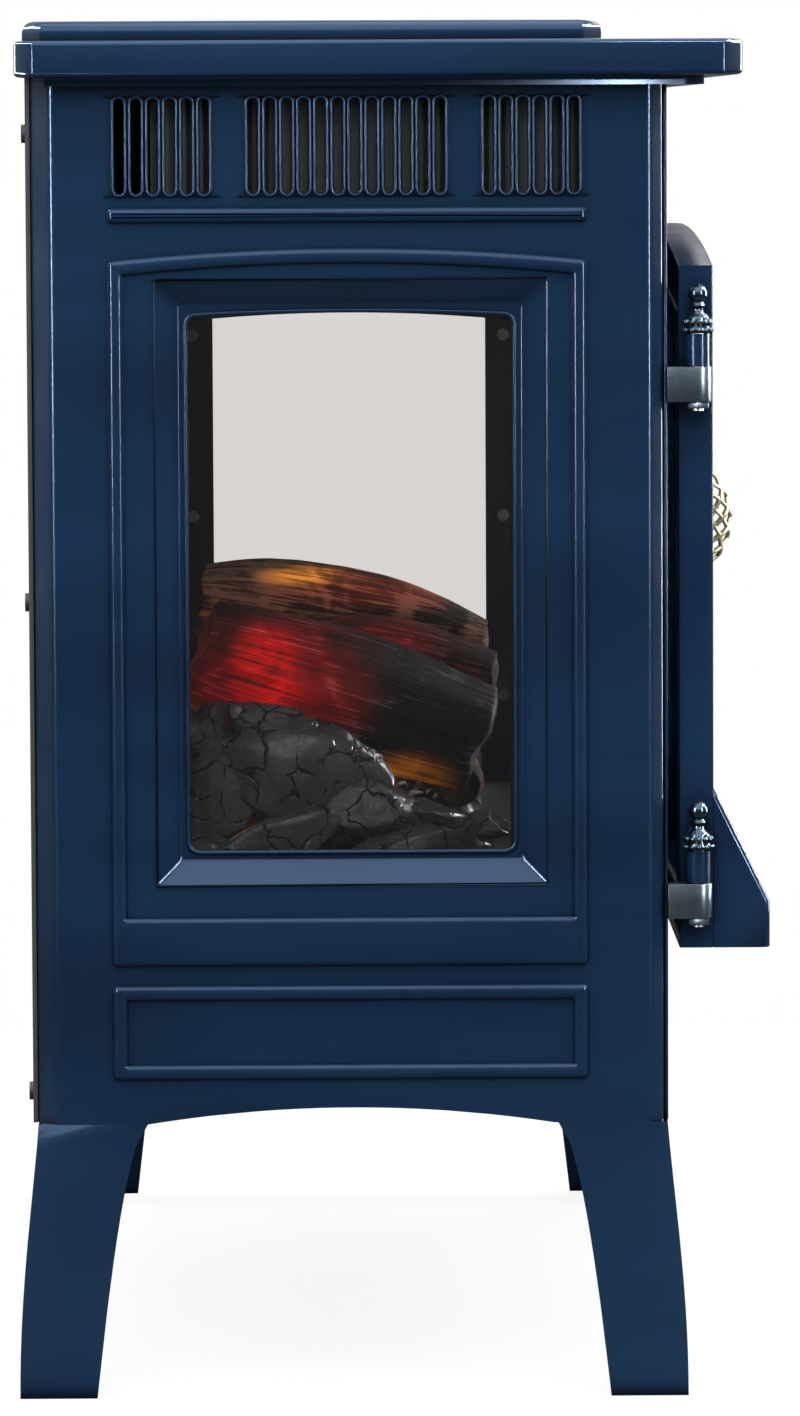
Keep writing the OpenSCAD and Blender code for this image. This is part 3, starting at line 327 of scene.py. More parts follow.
def lit_spots(tree, place, spots):
    """Adds the light that shows through a thin skin over lamps: (centre, reach, colour, power)."""
    total = None
    for centre, reach, tint, power in spots:
        away = add(tree, "VectorMath", {0: place, 1: centre}, operation="SUBTRACT")
        scaled = add(tree, "VectorMath", {0: away.outputs[0], 1: reach}, operation="DIVIDE")
        far = add(tree, "VectorMath", {0: scaled.outputs[0]}, operation="LENGTH")
        near = add(tree, "MapRange", {"Value": far.outputs["Value"], "From Min": 1.0,
                                      "From Max": 0.0, "To Max": power},
                   interpolation_type="SMOOTHSTEP")
        lamp = add(tree, "VectorMath", {0: tint[:3], 3: near.outputs[0]}, operation="SCALE")
        if total is None:
            total = lamp.outputs[0]
        else:
            total = add(tree, "VectorMath", {0: total, 1: lamp.outputs[0]}).outputs[0]
    return total


def moulded_log(name, dark, pale, pale_share, spots, gloss):
    """Painted resin log: fibres along its grain, and lamps that glow through its thin skin."""
    made, tree, place = blank(name)
    grain = add(tree, "Attribute", attribute_name="grain").outputs["Vector"]
    # fibres about 1.5 mm apart and 40 mm long
    drawn = add(tree, "Mapping", {"Vector": grain, "Scale": (1 / (40 * MM), 1 / (1.5 * MM), 90)})
    fibre = add(tree, "TexNoise", {"Vector": drawn.outputs[0], "Scale": 1.0, "Detail": 3.0,
                                   "Distortion": 0.6})
    patch = add(tree, "TexNoise", {"Vector": place, "Scale": 1 / (22 * MM), "Detail": 5.0,
                                   "Distortion": 0.8})
    both = add(tree, "Math", {0: fibre.outputs[0], 1: patch.outputs[0]}, operation="ADD")
    share = add(tree, "MapRange", {"Value": both.outputs[0], "From Min": 1.3 - pale_share,
                                   "From Max": 1.38 - pale_share * 0.8})
    tone = add(tree, "Mix", {0: share.outputs[0], 6: dark, 7: pale}, data_type="RGBA")
    relief = add(tree, "Bump", {"Height": fibre.outputs[0], "Strength": 0.9, "Distance": 1.2 * MM})
    lamps = lit_spots(tree, place, spots)
    # the skin's thickness varies, so the light is streaked and blotched
    veil = add(tree, "MapRange", {"Value": both.outputs[0], "From Min": 0.75, "From Max": 1.2,
                                  "To Min": 0.12, "To Max": 1.35})
    lit = add(tree, "VectorMath", {0: lamps, 3: veil.outputs[0]}, operation="SCALE")
    shader = add(tree, "BsdfPrincipled", {
        "Base Color": tone.outputs[2], "Roughness": gloss + 0.15, "Specular IOR Level": 0.12,
        "Normal": relief.outputs[0],
        "Emission Color": lit.outputs[0], "Emission Strength": 1.0})
    return shown(made, shader)


def glazed_coal():
    """Moulded coal with a wet lacquer: cracked into plates, with light on their edges."""
    look = bpy.context.scene.stove_fire
    made, tree, place = blank("lacquered coal")
    # cracks wander, and leave some plates whole
    stray = add(tree, "TexNoise", {"Vector": place, "Scale": 1 / (12 * MM), "Detail": 3.0})
    wander = add(tree, "VectorMath", {0: stray.outputs["Color"], 3: 12 * MM}, operation="SCALE")
    bent = add(tree, "VectorMath", {0: place, 1: wander.outputs[0]})
    plates = add(tree, "TexVoronoi", {"Vector": bent.outputs[0], "Scale": 1 / (17 * MM)},
                 feature="DISTANCE_TO_EDGE")
    whole = add(tree, "MapRange", {"Value": stray.outputs[0], "From Min": 0.42, "From Max": 0.6,
                                   "To Min": 0.005, "To Max": 0.07})
    crack = add(tree, "MapRange", {"Value": plates.outputs["Distance"],
                                   "From Max": whole.outputs[0]})
    cloud = add(tree, "TexNoise", {"Vector": place, "Scale": 1 / (14 * MM), "Detail": 4.0})
    tone = add(tree, "Mix", {0: cloud.outputs[0], 6: linear("313338"), 7: look.coal},
               data_type="RGBA")
    body = add(tree, "Mix", {0: crack.outputs[0], 6: linear("050505"), 7: tone.outputs[2]},
               data_type="RGBA")
    grit = add(tree, "TexNoise", {"Vector": place, "Scale": 1 / (3 * MM), "Detail": 4.0})
    high = add(tree, "Math", {0: grit.outputs[0], 1: crack.outputs[0]}, operation="ADD")
    bump = add(tree, "Bump", {"Height": high.outputs[0], "Strength": 0.6, "Distance": 1.0 * MM})
    # painted glow: orange emission in patches on the coals' undersides near the bed, standing for
    # the ember lamps' light
    glow_patch_noise = add(tree, "TexNoise", {"Vector": place, "Scale": 1 / (55 * MM), "Detail": 2.0})
    glow_patches = add(tree, "MapRange", {"Value": glow_patch_noise.outputs[0], "From Min": 0.6, "From Max": 0.75,
                                 "To Max": 1.2})
    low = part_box("ember_bed")[0].z
    depth = add(tree, "SeparateXYZ", {0: place})
    under = add(tree, "MapRange", {"Value": depth.outputs[2], "From Min": low + 15 * MM,
                                   "From Max": low + 6 * MM})
    glow = add(tree, "Math", {0: glow_patches.outputs[0], 1: under.outputs[0]}, operation="MULTIPLY")
    shader = add(tree, "BsdfPrincipled", {
        "Base Color": body.outputs[2], "Roughness": 0.26, "Normal": bump.outputs[0],
        "Emission Color": linear("ff4a10"), "Emission Strength": glow.outputs[0]})
    return shown(made, shader)


def flame_film():
    """Frosted film lit from behind by the turning foil: soft tongues that thin out upwards."""
    made, tree, place = blank("flame film")
    low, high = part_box("flame_screen")
    apart = add(tree, "SeparateXYZ", {0: place})
    rise = add(tree, "MapRange", {"Value": apart.outputs[2], "From Min": low.z,
                                  "From Max": high.z - 10 * MM})
    drawn = add(tree, "Mapping", {"Vector": place, "Scale": (1 / (42 * MM), 1, 1 / (120 * MM))})
    tongue = add(tree, "TexNoise", {"Vector": drawn.outputs[0], "Scale": 1.0, "Detail": 3.0,
                                    "Distortion": 0.9})
    reach = add(tree, "Math", {0: tongue.outputs[0], 1: rise.outputs[0]}, operation="SUBTRACT")
    body = add(tree, "MapRange", {"Value": reach.outputs[0], "From Min": -0.08, "From Max": 0.42})
    core = add(tree, "Mix", {0: body.outputs[0], 6: linear("b01c04"), 7: linear("ffb347")},
               data_type="RGBA")
    shader = add(tree, "BsdfPrincipled", {
        "Base Color": linear("0b0908"), "Roughness": 0.45, "Emission Color": core.outputs[2],
        "Emission Strength": body.outputs[0]})
    return shown(made, shader)


def pale_floor():
    """Matt pale sweep, lifted to white where it is seen and duller in the enamel's gloss."""
    made, tree, place = blank("matt white floor")
    faint = add(tree, "TexNoise", {"Vector": place, "Scale": 3.0, "Detail": 2.0})
    tone = add(tree, "Mix", {0: faint.outputs[0], 6: linear("6a6a6a"), 7: linear("707070")},
               data_type="RGBA")
    seen = add(tree, "LightPath").outputs["Is Camera Ray"]
    lift = add(tree, "Math", {0: seen, 1: 0.86}, operation="MULTIPLY")
    shader = add(tree, "BsdfPrincipled", {
        "Base Color": tone.outputs[2], "Roughness": 0.9, "Specular IOR Level": 0.1,
        "Emission Color": (1, 1, 1, 1), "Emission Strength": lift.outputs[0]})
    return shown(made, shader)


# ---------------------------------------------------------------- shaping


def piece(name, shape, body, finish, nodes=(), sharp=35):
    """Makes an object from a bmesh, which rides on a body and may stand for CAD nodes."""
    mesh = bpy.data.meshes.new(name)
    shape.to_mesh(mesh)
    crisp = [i for i, edge in enumerate(shape.edges) if not edge.smooth]
    shape.free()
    mesh.shade_smooth()
    mesh.set_sharp_from_angle(angle=math.radians(sharp))
    for i in crisp:
        mesh.edges[i].use_edge_sharp = True
    mesh.materials.append(finish)
    made = bpy.data.objects.new(name, mesh)
    bpy.context.scene.collection.objects.link(made)
    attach(made, body)
    if nodes:
        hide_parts(*nodes)
    return made


def merged_copy(node):
    """A bmesh of a CAD node with its loose triangles joined back into flat faces."""
    shape = bmesh.new()
    shape.from_mesh(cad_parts[node].data)
    bmesh.ops.remove_doubles(shape, verts=shape.verts, dist=0.01 * MM)
    bmesh.ops.dissolve_limit(shape, angle_limit=math.radians(0.6), verts=shape.verts,
                             edges=shape.edges)
    return shape


def bevelled(shape, geom, width, segments, affect="EDGES", clamp=False):
    """Bevels some edges, or the corners of an outline."""
    bmesh.ops.bevel(shape, geom=geom, offset=width, offset_type="OFFSET", segments=segments,
                    profile=0.5, affect=affect, clamp_overlap=clamp, material=-1)


def round_edges(shape, width, segments=3, least=30, keep=None):
    """Rounds the edges that turn by more than least degrees and that keep accepts."""
    turned = math.radians(least)
    edges = [e for e in shape.edges
             if e.is_manifold and e.calc_face_angle() > turned and (keep is None or keep(e))]
    bevelled(shape, edges, width, segments, clamp=True)


def rounded(node, made_by, body, slot, finish, *rounds):
    """Makes a piece of a CAD node's own shape, after each of the rounds of round_edges."""
    shape = merged_copy(node)
    for values in rounds:
        round_edges(shape, *values)
    piece(f"{node}_{made_by}", shape, body, finish, [node])


def middle(edge):
    """The middle of an edge."""
    return (edge.verts[0].co + edge.verts[1].co) / 2


def outline(width, low, high, rise=0.0, corner=0.0, steps=20):
    """A bmesh of one upright face, centred on x = 0, with an arched top and rounded corners."""
    shape = bmesh.new()
    half = width / 2
    corners = [shape.verts.new((x, y, 0)) for x, y in
               ((-half, low), (half, low), (half, high), (-half, high))]
    shape.faces.new(corners)
    if corner:
        bevelled(shape, shape.verts[:], corner, 5, "VERTICES")
    if rise:
        top = [e for e in shape.edges if all(v.co.y > high - NEAR for v in e.verts)]
        bmesh.ops.subdivide_edges(shape, edges=top, cuts=steps)
        for v in shape.verts:
            if v.co.y > high - NEAR:
                v.co.y += rise * max(0, 1 - (v.co.x / (half - corner)) ** 2)
    return shape


def the_face(shape):
    """The one face of a bmesh that has only an outline."""
    shape.faces.ensure_lookup_table()
    return shape.faces[-1]


def arc(width, height, turn, steps, falling=False):
    """The (run, rise) steps of a section that turns from the edge, or back down to it."""
    at = [(width * (1 - math.cos(turn * i / steps)), height * math.sin(turn * i / steps))
          for i in range(steps + 1)]
    if falling:
        at = [(width - x, y) for x, y in reversed(at)]
    return [(b[0] - a[0], b[1] - a[1]) for a, b in zip(at, at[1:])]


def half_round(width, height):
    """A section that rises and falls again."""
    return arc(width / 2, height, math.pi, 5)


def quarter_round(width, height, falling=False):
    """A section that rises from the edge, or falls from the top."""
    return arc(width, height, math.pi / 2, 4, falling)


def mould(shape, face, section):
    """Insets a face step by step, so that its rim takes a section, and returns what is left."""
    for run, rise in section:
        bmesh.ops.inset_individual(shape, faces=[face], thickness=run, depth=rise,
                                   use_even_offset=True)
    return face


def join(shape, other, lift=0.0, shift=(0, 0)):
    """Adds a bmesh to another, moved by shift and lifted off the sheet."""
    bmesh.ops.translate(other, verts=other.verts, vec=(shift[0], shift[1], lift))
    mesh = bpy.data.meshes.new("joined")
    other.to_mesh(mesh)
    other.free()
    shape.from_mesh(mesh)
    bpy.data.meshes.remove(mesh)


def opened(shape, face):
    """Removes a face, and leaves its edges as a rim."""
    bmesh.ops.delete(shape, geom=[face], context="FACES_ONLY")
    return shape


def band(outer, inner, shoulder, height):
    """A raised band between two outlines, with rounded shoulders on both sides."""
    face = the_face(outer)
    mould(outer, face, quarter_round(shoulder, height))
    opened(outer, face)
    face = the_face(inner)
    mould(inner, face, quarter_round(shoulder, height, falling=True))
    opened(inner, face)
    join(outer, inner, lift=height)
    crest = [e for e in outer.edges if e.is_boundary and middle(e).z > height * 0.99]
    bmesh.ops.bridge_loops(outer, edges=crest)
    facing_out(outer)
    return outer


def facing_out(shape):
    """Turns a pressed sheet's faces towards +Z."""
    bmesh.ops.recalc_face_normals(shape, faces=shape.faces)
    if sum(f.normal.z * f.calc_area() for f in shape.faces) < 0:
        bmesh.ops.reverse_faces(shape, faces=shape.faces)


# The left side's own plane: x to the front, y up, and z out of the sheet
SIDE = Matrix(((0, 0, -1, 0), (-1, 0, 0, 0), (0, 1, 0, 0), (0, 0, 0, 1)))


# ---------------------------------------------------------------- operators


class STOVE_OT_studio(bpy.types.Operator):
    """Stand the camera, the lights and the pale floor around the stove"""

    bl_idname = "stove.studio"
    bl_label = "Studio"

    def execute(self, context):
        look = context.scene.stove_studio
        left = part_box("left_side_panel")[0].x
        data = bpy.data.cameras.new("camera")
        data.lens = look.camera_lens
        data.sensor_width = 36
        data.clip_end = 60
        camera = bpy.data.objects.new("camera", data)
        ahead = Vector((math.cos(look.camera_tilt) * math.cos(look.camera_turn),
                        -math.cos(look.camera_tilt) * math.sin(look.camera_turn),
                        -math.sin(look.camera_tilt)))
        turned = ahead.to_track_quat("-Z", "Y").to_matrix().to_4x4()
        camera.matrix_world = (Matrix.Translation((left - look.camera_back, look.camera_y,
                                                   look.camera_height))
                               @ turned @ Matrix.Rotation(look.camera_roll, 4, "Z"))
        context.scene.collection.objects.link(camera)
        context.scene.camera = camera
        context.scene.view_settings.view_transform = "Standard"

        edge, fill = look.edge_power, look.fill_power
        # name, watts, width, height, place, height that it aims at, whether it lights flat faces
        lamps = (("key", look.key_power, 2.6, 2.6, (-0.5, -0.1, 2.7), 0.2, True),
                 ("rear strip", edge * 4.5, 0.12, 1.8, (-1.9, 1.6, 1.15), 0.35, False),
                 ("front strip", edge * 4.0, 0.12, 1.8, (-1.9, -1.6, 1.15), 0.35, False),
                 ("rear rim strip", edge * 6.0, 0.25, 1.8, (0.35, 1.5, 0.95), 0.35, False),
                 ("front rim strip", edge * 5.0, 0.25, 1.8, (0.35, -1.5, 0.95), 0.35, False),
                 ("upper rear lamp", edge * 2.0, 0.35, 0.35, (-0.25, 1.5, 1.85), 0.35, False),
                 ("upper front lamp", edge * 2.0, 0.35, 0.35, (-0.25, -1.5, 1.85), 0.35, False),
                 ("fill", fill, 2.4, 1.2, (-2.6, 0.0, 2.3), 0.35, True),
                 ("far fill", fill, 2.4, 1.2, (2.6, -1.2, 2.0), 0.35, True))
        for values in lamps:
            self.light(context, *values)

        shape = bmesh.new()
        bmesh.ops.create_circle(shape, cap_ends=True, radius=look.floor_radius, segments=96)
        mesh = bpy.data.meshes.new("floor")
        shape.to_mesh(mesh)
        shape.free()
        mesh.materials.append(pale_floor())
        floor = bpy.data.objects.new("floor", mesh)
        context.scene.collection.objects.link(floor)
        self.surroundings(context)
        return {"FINISHED"}

    def light(self, context, name, power, wide, tall, place, aim, on_flats):
        """An area light that looks at a height on the stove's middle line."""
        data = bpy.data.lights.new(name, "AREA")
        data.shape = "RECTANGLE"
        data.size, data.size_y = wide, tall
        data.energy = power
        lamp = bpy.data.objects.new(name, data)
        lamp.location = place
        towards = Vector((0, 0, aim)) - Vector(place)
        lamp.rotation_euler = towards.to_track_quat("-Z", "Y").to_euler()
        # the edge lights only draw a line of light on rounded edges
        lamp.visible_diffuse = on_flats
        context.scene.collection.objects.link(lamp)

    def surroundings(self, context):
        """A white backdrop, with a dim room in what the enamel reflects."""
        world = bpy.data.worlds.new("studio")
        context.scene.world = world
        world.use_nodes = True
        tree = world.node_tree
        tree.nodes.clear()
        towards = add(tree, "TexCoord").outputs["Generated"]
        apart = add(tree, "SeparateXYZ", {0: towards})
        height = add(tree, "MapRange", {"Value": apart.outputs[2], "From Min": -0.15,
                                        "From Max": 0.75, "To Min": 0.1, "To Max": 0.75})
        seen = add(tree, "LightPath").outputs["Is Camera Ray"]
        level = add(tree, "Mix", {0: seen, 2: height.outputs[0], 3: 1.0}, data_type="FLOAT")
        back = add(tree, "Background", {"Color": (1, 1, 1, 1), "Strength": level.outputs[0]})
        add(tree, "OutputWorld", {"Surface": back.outputs[0]})


class STOVE_OT_side_panels(bpy.types.Operator):
    """Press both enamelled side panels with their louvres, beads and window recess"""

    bl_idname = "stove.side_panels"
    bl_label = "Side Panels"
    gauge = 1.2 * MM

    def execute(self, context):
        enamel = vitreous_enamel()
        for name, turned in (("left_side_panel", False), ("right_side_panel", True)):
            shape = self.sheet(context.scene.stove_enamel)
            bmesh.ops.transform(shape, matrix=SIDE, verts=shape.verts)
            # the CAD panel's beads stand 1.6 mm off its sheet
            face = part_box("left_side_panel")[0].x + 1.6 * MM
            bmesh.ops.translate(shape, verts=shape.verts, vec=(face, 0, 0))
            if turned:
                bmesh.ops.transform(shape, matrix=Matrix.Scale(-1, 4, (1, 0, 0)),
                                    verts=shape.verts)
                bmesh.ops.reverse_faces(shape, faces=shape.faces)
            made = piece(name + "_pressed", shape, "cabinet", enamel, [name], 50)
            wall = made.modifiers.new("sheet", "SOLIDIFY")
            wall.thickness = self.gauge
            wall.offset = -1.0
            made.modifiers.new("flat faces", "WEIGHTED_NORMAL").keep_sharp = True
        return {"FINISHED"}

    def sheet(self, look):
        """The whole pressed sheet, flat on z = 0 with its outside up."""
        low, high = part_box("left_side_panel")
        centre = -(low.y + high.y) / 2
        shape = bmesh.new()
        self.flat(shape, look, low, high, centre)
        self.window(shape, look, low, centre)
        self.louvres(shape, look, high, centre)
        self.beads(shape, look, low, high, centre)
        # rims stay crisp, and the flat of the sheet is shaded flat
        for edge in shape.edges:
            edge.smooth = not edge.is_boundary and any(
                abs(f.normal.z) < 0.9999 for f in edge.link_faces)
        return shape

    def flat(self, shape, look, low, high, centre):
        """The flat face with its arched bottom edge, holes, clipped corners and flanges."""
        half = ((high.y - low.y) - look.rear_clip - look.front_clip) / 2
        shift = centre + (look.rear_clip - look.front_clip) / 2
        grow = look.window_lip + look.window_bevel
        sill = low.z + look.window_sill
        window = centre + look.window_shift
        holes = [(window - look.window_width / 2 - grow, window + look.window_width / 2 + grow,
                  sill - grow, sill + look.window_height + look.window_rise + grow)]
        # the holes end under the slots' rolled lips
        slot = look.louvre_pitch / 2 - 1.4 * MM
        for x, z in self.slots(look, high):
            holes.append((centre + x - slot, centre + x + slot, z - look.louvre_length / 2,
                          z + look.louvre_length / 2))
        flat = outline(2 * half, low.z, high.z)
        bmesh.ops.translate(flat, verts=flat.verts, vec=(shift, 0, 0))
        for way, ends in (((1, 0, 0), (0, 1)), ((0, 1, 0), (2, 3))):
            for at in sorted({round(hole[end], 6) for hole in holes for end in ends}):
                bmesh.ops.bisect_plane(flat, geom=flat.verts[:] + flat.edges[:] + flat.faces[:],
                                       dist=1e-7, plane_co=Vector(way) * at, plane_no=way)
        cut = [f for f in flat.faces if any(
            x0 < f.calc_center_median().x < x1 and z0 < f.calc_center_median().y < z1
            for x0, x1, z0, z1 in holes)]
        bmesh.ops.delete(flat, geom=cut, context="FACES")
        run = half - look.skirt_end + (look.rear_clip + look.front_clip) / 2
        for v in flat.verts:
            if v.co.y < low.z + NEAR and abs(v.co.x - centre) < run:
                v.co.y += look.skirt_rise * (1 - ((v.co.x - centre) / run) ** 2)
        for side, clip in ((-1, look.rear_clip), (1, look.front_clip)):
            edge = shift + side * half
            rim = [e for e in flat.edges if all(abs(v.co.x - edge) < NEAR for v in e.verts)]
            for reach, drop in ((side * clip, -clip), (0, -look.flange)):
                bent = bmesh.ops.extrude_edge_only(flat, edges=rim)["geom"]
                moved = [g for g in bent if isinstance(g, bmesh.types.BMVert)]
                bmesh.ops.translate(flat, verts=moved, vec=(reach, 0, drop))
                rim = [g for g in bent if isinstance(g, bmesh.types.BMEdge)
                       and g.verts[0] in moved and g.verts[1] in moved]
        facing_out(flat)
        bends = [e for e in flat.edges if e.is_manifold and e.calc_face_angle() > math.pi / 6]
        bevelled(flat, bends, look.edge_round * 1.4, 4)
        join(shape, flat)

    def slots(self, look, high):
        """The middle of each louvre slot, from the window's middle and up."""
        z = high.z - look.louvre_drop - look.louvre_length / 2
        groups = ((-look.louvre_group, 6), (0, 12), (look.louvre_group, 6))
        return [(g + (i - (n - 1) / 2) * look.louvre_pitch, z) for g, n in groups
                for i in range(n)]

    def slot(self, look):
        """One louvre slot's outline, which all but touches its neighbours."""
        wide = look.louvre_pitch - 0.06 * MM
        tall = look.louvre_length + 2.4 * MM
        return outline(wide, -tall / 2, tall / 2, corner=wide * 0.49)

    def louvres(self, shape, look, high, centre):
        """Each slot has a rolled lip that stands a little proud of the sheet."""
        for x, z in self.slots(look, high):
            lip = self.slot(look)
            # a roll, and then the turned-in edge of the hole
            section = half_round(1.7 * MM, 1.3 * MM) + [(0.05 * MM, -2.2 * MM)]
            opened(lip, mould(lip, the_face(lip), section))
            join(shape, lip, shift=(centre + x, z))

    def window(self, shape, look, low, centre):
        """A mitred bevel down to a flat lip, and a rolled edge around the opening."""
        sill = low.z + look.window_sill
        head = sill + look.window_height
        grow = look.window_lip + look.window_bevel
        wide = look.window_width
        dish = outline(wide + 2 * grow, sill - grow, head + look.window_rise + grow)
        face = the_face(dish)
        # a rounded brow, the straight bevel, and a rounded foot: run and rise of each step
        mould(dish, face, [(0.5 * MM, -0.05 * MM), (0.6 * MM, -0.25 * MM),
                           (look.window_bevel - 2.2 * MM, -(look.window_depth - 0.9 * MM)),
                           (0.6 * MM, -0.5 * MM), (0.5 * MM, -0.1 * MM)])
        opened(dish, face)
        # the press leaves its four mitres rounded
        mitres = []
        for edge in dish.edges:
            span = edge.verts[0].co - edge.verts[1].co
            if edge.is_manifold and abs(abs(span.x) - abs(span.y)) < NEAR:
                mitres.append(edge)
        bevelled(dish, mitres, 1.3 * MM, 3)
        join(shape, dish, shift=(centre + look.window_shift, 0))
        # the lip runs on behind the bevel, so that its rounded corners leave no gap
        behind = 6 * MM
        roll = 2.0 * MM
        grow = look.window_lip + behind
        lip = outline(wide + 2 * grow, sill - grow, head + grow, look.window_rise,
                      look.window_corner + grow)
        face = the_face(lip)
        mould(lip, face, [(grow - roll, 0)] + half_round(roll, 1.0 * MM)
              + [(0.03 * MM, -3.0 * MM)])
        opened(lip, face)
        join(shape, lip, lift=0.1 * MM - look.window_depth, shift=(centre + look.window_shift, 0))

    def beads(self, shape, look, low, high, centre):
        """The beaded frame around the window, the panel below it and the bead above it."""
        wide, bead, rise = look.panel_width, look.bead_width, look.bead_height
        shoulder = bead * 0.42
        inner_wide = wide - 2 * bead + 2 * shoulder
        corner = 2.5 * MM
        # bottom, top at the sides, rise of the arch, and width of the bottom rail
        frames = ((look.frame_low, look.frame_high, look.frame_rise, look.frame_rail),
                  (look.lower_low, look.lower_high, 0, bead))
        for foot, head, arch, rail in frames:
            outer = outline(wide, low.z + foot, low.z + head, arch, corner)
            inner = outline(inner_wide, low.z + foot + rail - shoulder,
                            low.z + head - bead + shoulder, arch, corner)
            join(shape, band(outer, inner, shoulder, rise), shift=(centre, 0))
        base = high.z - look.louvre_drop - look.louvre_length - 12 * MM
        top_bead = outline(wide, base, base + bead, 0, 2 * MM)
        mould(top_bead, the_face(top_bead), quarter_round(shoulder, rise))
        join(shape, top_bead, shift=(centre, 0))


class STOVE_OT_top(bpy.types.Operator):
    """Round the edges of the top plate and its raised deck"""

    bl_idname = "stove.top"
    bl_label = "Top Plate and Deck"

    def execute(self, context):
        enamel = vitreous_enamel()
        low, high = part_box("top_plate")
        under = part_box("left_side_panel")[1].z
        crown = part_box("top_deck")[1].z
        # the clipped corners lie this close to the plate's ends
        corner = 12 * MM

        def rim(e):
            at = middle(e)
            return (at.z > high.z - NEAR or abs(at.z - under) < NEAR) and (
                abs(at.x) > high.x - corner or at.y < low.y + corner or at.y > high.y - corner)

        def upright(e):
            tall = abs(e.verts[0].co.z - e.verts[1].co.z)
            return tall > 6 * MM and abs(middle(e).x) > high.x - corner

        rounded("top_plate", "cast", "cabinet", "navy_enamel", enamel,
                (2.2 * MM, 4, 30, rim), (1.4 * MM, 4, 40, upright))
        rounded("top_deck", "cast", "cabinet", "navy_enamel", enamel,
                (5.0 * MM, 5, 30, lambda e: middle(e).z > crown - NEAR))
        return {"FINISHED"}


class STOVE_OT_shell(bpy.types.Operator):
    """Round the edges of the front frame, the legs and the ash lips"""

    bl_idname = "stove.shell"
    bl_label = "Frame, Legs and Ash Lips"
    lip_slope = 23 * MM  # how far the ash lip's sloping end reaches back
    lip_bend = 193 * MM  # height above which that end slopes

    def execute(self, context):
        enamel = vitreous_enamel()
        # the legs' tops are hidden inside the cabinet, and stay sharp
        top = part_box("left_side_panel")[0].z - 1 * MM
        for side in ("left", "right"):
            for end in ("front", "rear"):
                rounded(f"{end}_{side}_leg", "pressed", "cabinet", "navy_enamel", enamel,
                        (1.0 * MM, 2, 30, lambda e: middle(e).z < top))
            node = f"{side}_ash_lip"
            low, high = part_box(node)
            outer = max(abs(low.x), abs(high.x))

            def sloping_end(e):
                at = middle(e)
                return (abs(at.x) > outer - NEAR and at.y < low.y + self.lip_slope
                        and at.z > self.lip_bend)

            rounded(node, "pressed", f"{side}_door", "navy_enamel", enamel,
                    (3.0 * MM, 2, 30, sloping_end),
                    (0.6 * MM, 2, 40, lambda e: middle(e).y < low.y + 3 * MM))
        rounded("front_frame", "pressed", "cabinet", "navy_enamel", enamel, (0.5 * MM, 2))
        return {"FINISHED"}


class STOVE_OT_doors(bpy.types.Operator):
    """Round the front and rear edges of the door leaves"""

    bl_idname = "stove.doors"
    bl_label = "Doors"

    def execute(self, context):
        enamel = vitreous_enamel()
        for side in ("left", "right"):
            node = f"{side}_door_frame"
            low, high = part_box(node)
            rounded(node, "pressed", f"{side}_door", "navy_enamel", enamel,
                    (1.4 * MM, 3, 30,
                     lambda e: not low.y + NEAR <= middle(e).y <= high.y - NEAR))
        return {"FINISHED"}


class STOVE_OT_hinges(bpy.types.Operator):
    """Cast the brackets, beaded finials and nuts of the four hinges"""

    bl_idname = "stove.hinges"
    bl_label = "Hinges"

    def execute(self, context):
        look = context.scene.stove_metal
        pewter = cast_pewter("cast pewter", look.pewter, 0.3)
        burnished = cast_pewter("burnished pewter", look.burnished, 0.16)
        low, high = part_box("hinge_finials")
        x = high.x - 7 * MM
        y = (low.y + high.y) / 2
        tall = 21.5 * MM
        shape = bmesh.new()
        for side in (-1, 1):
            for z in (low.z, high.z - tall):
                self.finial(shape, look, Vector((side * x, y, z)))
        bmesh.ops.recalc_face_normals(shape, faces=shape.faces)
        piece("hinge_finials_cast", shape, "cabinet", burnished, ["hinge_finials"], 50)
        for node, width in (("hinge_brackets", 0.9 * MM), ("hinge_nuts", 0.5 * MM)):
            rounded(node, "cast", "cabinet", "pewter", pewter, (width, 2))
        return {"FINISHED"}

    def finial(self, shape, look, foot):
        """A turned knob on a neck, over a barrel with two rings of beads."""
        # radius and height of each turn, in millimetres
        section = ((0, 0), (5.4, 0), (6.0, 0.6), (6.0, 2.2), (5.2, 2.9), (5.2, 6.6), (4.4, 7.6),
                   (2.6, 8.9), (2.3, 10.4), (3.0, 11.2), (3.4, 12.0), (2.9, 12.8), (2.5, 13.4),
                   (3.6, 14.6), (4.3, 16.2), (4.2, 18.0), (3.2, 19.8), (1.5, 21.1), (0, 21.5))
        profile = bmesh.new()
        points = [profile.verts.new((r * MM, 0, h * MM)) for r, h in section]
        for a, b in zip(points, points[1:]):
            profile.edges.new((a, b))
        bmesh.ops.spin(profile, geom=profile.verts[:] + profile.edges[:], cent=(0, 0, 0),
                       axis=(0, 0, 1), angle=ALL_AROUND, steps=32, use_merge=True)
        bmesh.ops.remove_doubles(profile, verts=profile.verts, dist=0.01 * MM)
        for i in range(look.bead_count):
            angle = ALL_AROUND * i / look.bead_count
            for height, radius, out in ((4.75, 1.25, 5.3), (1.4, 0.95, 6.0)):
                at = Matrix.Translation((math.cos(angle) * out * MM, math.sin(angle) * out * MM,
                                         height * MM))
                bmesh.ops.create_icosphere(profile, subdivisions=2, radius=radius * MM,
                                           matrix=at @ Matrix.Diagonal((1, 1, 1.25, 1)))
        bmesh.ops.translate(profile, verts=profile.verts, vec=foot)
        join(shape, profile)


